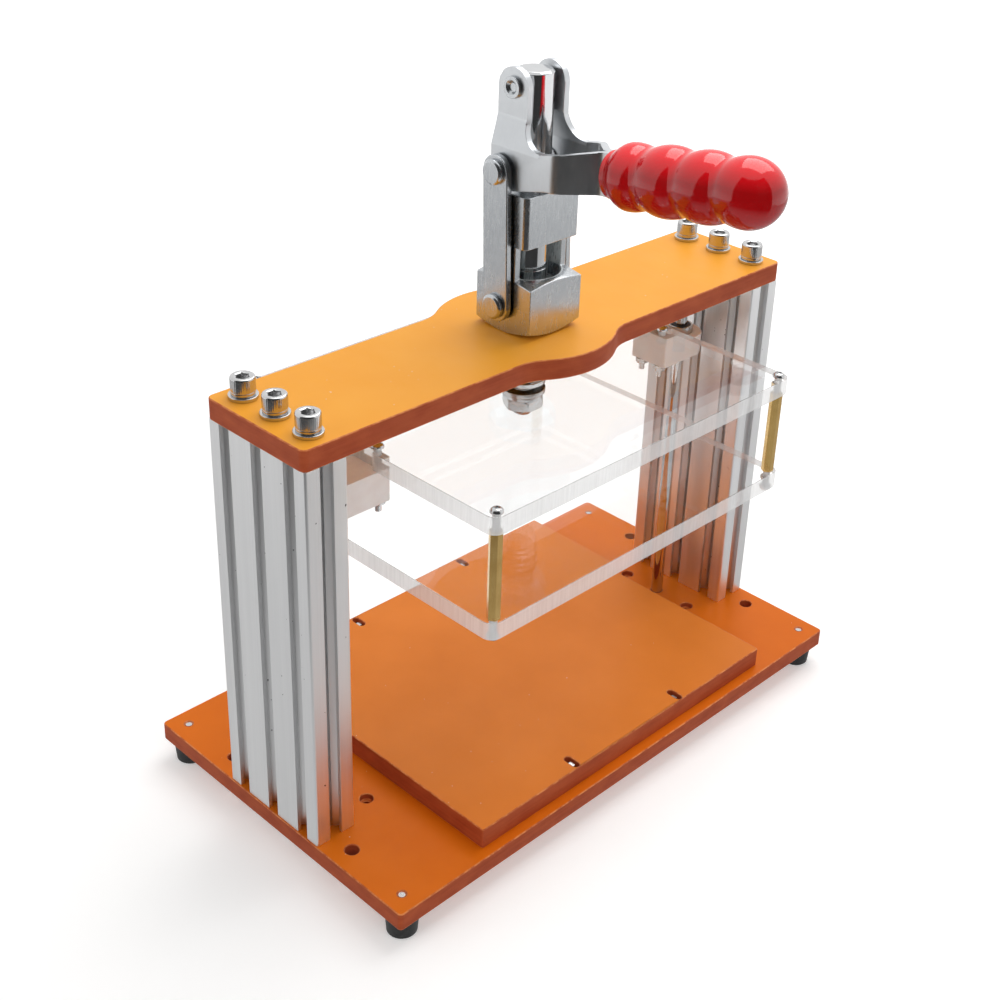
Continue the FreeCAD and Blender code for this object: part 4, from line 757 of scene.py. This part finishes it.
def nuts(node, flats, bore):
    """Hexagon nuts with chamfered corners."""
    corner = flats / math.sqrt(3)
    small, half, wide = (hexagon(flats, corner * share) for share in (0.93, 0.965, 1))
    drop = corner * 0.075
    mesh = bmesh.new()
    for low, high in separate_boxes(node):
        middle = (low + high) / 2
        rings = (
            (low.z, bore), (low.z, small), (low.z + drop / 2, half), (low.z + drop, wide),
            (high.z - drop, wide), (high.z - drop / 2, half), (high.z, small),
            (high.z, bore * 1.08), (high.z - bore * 0.08, bore),
        )
        corners_along_y = high.y - low.y > high.x - low.x
        turned = Matrix.Rotation(math.pi / 6, 4, "Z") if corners_along_y else Matrix()
        turn_rings(mesh, rings, Matrix.Translation((middle.x, middle.y, 0)) @ turned, count=96)
    finish_piece(mesh, node)


# The stud's thread
STUD_RADIUS = 5 * MM
THREAD_PITCH, THREAD_DEPTH = 1.5 * MM, 0.85 * MM
THREAD_STEPS = 6
THREAD_END = 0.6 * MM


def threaded_stud():
    """Stud with a coarse thread that winds along it."""
    low, high = (Vector(corner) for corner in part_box("plunger_stud"))
    end_radius = STUD_RADIUS - THREAD_DEPTH * 1.3
    rings = [(low.z, 0), (low.z, end_radius)]
    height = low.z + THREAD_END
    while height < high.z - THREAD_END:
        def flank(angle, height=height):
            phase = (height / THREAD_PITCH - angle / (2 * math.pi)) % 1
            return STUD_RADIUS - THREAD_DEPTH * (1 - abs(2 * phase - 1))
        rings.append((height, flank))
        height += THREAD_PITCH / THREAD_STEPS
    rings += [(high.z, end_radius), (high.z, 0)]
    mesh = bmesh.new()
    turn_rings(mesh, rings, Matrix(), count=48)
    finish_piece(mesh, "plunger_stud")


# The grip, along its own axis from the end at the yoke
GRIP_START = Vector((0, -45.1, 285.3)) * MM
GRIP_SLOPE = math.radians(8.65)
GRIP_LENGTH = 80.1 * MM
GRIP_COLLAR_RADIUS = 9.9 * MM
GRIP_COLLAR_LENGTH = 2.6 * MM
GRIP_SWELL_RADII = (13.6 * MM, 14.2 * MM, 14.1 * MM, 13.7 * MM)
GRIP_SWELL_CURVE = 20.0 * MM
GRIP_CREASE = 2.4 * MM
GRIP_FIRST_SWELL = 10.4 * MM
GRIP_PITCH = 18.5 * MM
GRIP_STEP = 0.4 * MM
GRIP_END = 6 * MM
SEAM_HEIGHT, SEAM_HALF_ANGLE = 0.10 * MM, 0.045
FOLD_PLACE, FOLD_WIDTH, FOLD_DEPTH = 4.4 * MM, 0.5 * MM, 0.35 * MM


def grip_radius(along):
    """The grip's radius: a collar, four round swells with soft creases between them, and a round end."""
    last = GRIP_FIRST_SWELL + 3 * GRIP_PITCH
    if along <= GRIP_COLLAR_LENGTH:
        return GRIP_COLLAR_RADIUS
    if along < GRIP_FIRST_SWELL:
        share = (along - GRIP_COLLAR_LENGTH) / (GRIP_FIRST_SWELL - GRIP_COLLAR_LENGTH)
        rise = GRIP_SWELL_RADII[0] - GRIP_COLLAR_RADIUS
        return GRIP_COLLAR_RADIUS + rise * math.sin(share * math.pi / 2)
    if along <= last:
        heights = []
        for index, radius in enumerate(GRIP_SWELL_RADII):
            away = min(abs(along - GRIP_FIRST_SWELL - index * GRIP_PITCH), GRIP_SWELL_CURVE)
            heights.append(radius - GRIP_SWELL_CURVE + math.sqrt(GRIP_SWELL_CURVE ** 2 - away ** 2))
        heights.sort()
        highest, second = heights[-1], heights[-2]
        crease = max(0.0, 1 - (highest - second) / GRIP_CREASE)
        return highest + 0.25 * GRIP_CREASE * crease ** 2
    share = min(1.0, (along - last) / (GRIP_LENGTH - last))
    return GRIP_SWELL_RADII[-1] * math.sqrt(1 - share ** 2)


def grip():
    """The moulded grip, with its mould line and the fold at its collar."""
    mesh = bmesh.new()
    rings = [(0, 0), (0, GRIP_COLLAR_RADIUS * 0.94), (0.35 * MM, GRIP_COLLAR_RADIUS * 0.99)]
    along = 0.8 * MM
    while along < GRIP_LENGTH - 0.3 * MM:
        def skin(angle, along=along):
            side = abs((angle + math.pi / 2) % math.pi - math.pi / 2)
            seam = SEAM_HEIGHT * max(0.0, 1 - side / SEAM_HALF_ANGLE)
            fold = FOLD_DEPTH * math.exp(-((along - FOLD_PLACE) / FOLD_WIDTH) ** 2)
            return grip_radius(along) + seam - fold
        rings.append((along, skin))
        along += GRIP_STEP * (0.35 if along > GRIP_LENGTH - GRIP_END else 1)
    rings.append((GRIP_LENGTH, 0))
    lay = Matrix.Rotation(math.pi / 2 - GRIP_SLOPE, 4, "X")
    turn_rings(mesh, rings, Matrix.Translation(GRIP_START) @ lay, count=120)
    finish_piece(mesh, "handle_grip")


# How wide the arrises of each piece are rounded, in millimetres
BOARD_ROUNDING = 0.45
BLOCK_ARRIS_ROUNDING = 0.35
YOKE_ROUNDING = 0.5
ROUNDING = {
    "lower_press_plate": 0.30, "upper_press_plate": 0.30, "left_link": 0.5, "right_link": 0.5,
    "lower_link_rivets": 0.25, "upper_link_rivets": 0.25, "yoke_pins": 0.25, "plunger": 0.15,
    "left_guide_block": 0.30, "right_guide_block": 0.30, "standoffs": 0.15, "upright_flat_washers": 0.25,
    "upright_spring_washers": 0.25, "plunger_flat_washers": 0.25, "plunger_spring_washer": 0.25,
    "linear_bearings": 0.25, "left_upright": 0.15, "right_upright": 0.15,
}

# Width across flats and bore radius of each kind of nut, in millimetres
NUT_SIZES = {"plunger_nuts": (16, 5), "clamp_lock_nut": (27, 10), "block_nuts": (5.5, 1.5)}


def model_pieces():
    """Makes every piece that stands for a solid."""
    for node in ("base_plate", "carrier_plate", "bridge_plate"):
        board(node, BOARD_ROUNDING * MM)
    clamp_body(BLOCK_ARRIS_ROUNDING * MM)
    for node, width in ROUNDING.items():
        softened(node, width * MM)
    for node in ("left_yoke_arm", "right_yoke_arm"):
        softened(node, YOKE_ROUNDING * MM, spacing="ABSOLUTE")
    cap_screws()
    for node in ("standoff_top_screws", "block_screws"):
        pan_screws(node)
    pan_screws("standoff_bottom_screws", upside_down=True)
    for node, (flats, bore) in NUT_SIZES.items():
        nuts(node, flats * MM, bore * MM)
    threaded_stud()
    grip()


make_camera()
studio()
dress_solids()
model_pieces()

scene.view_settings.view_transform = "Standard"
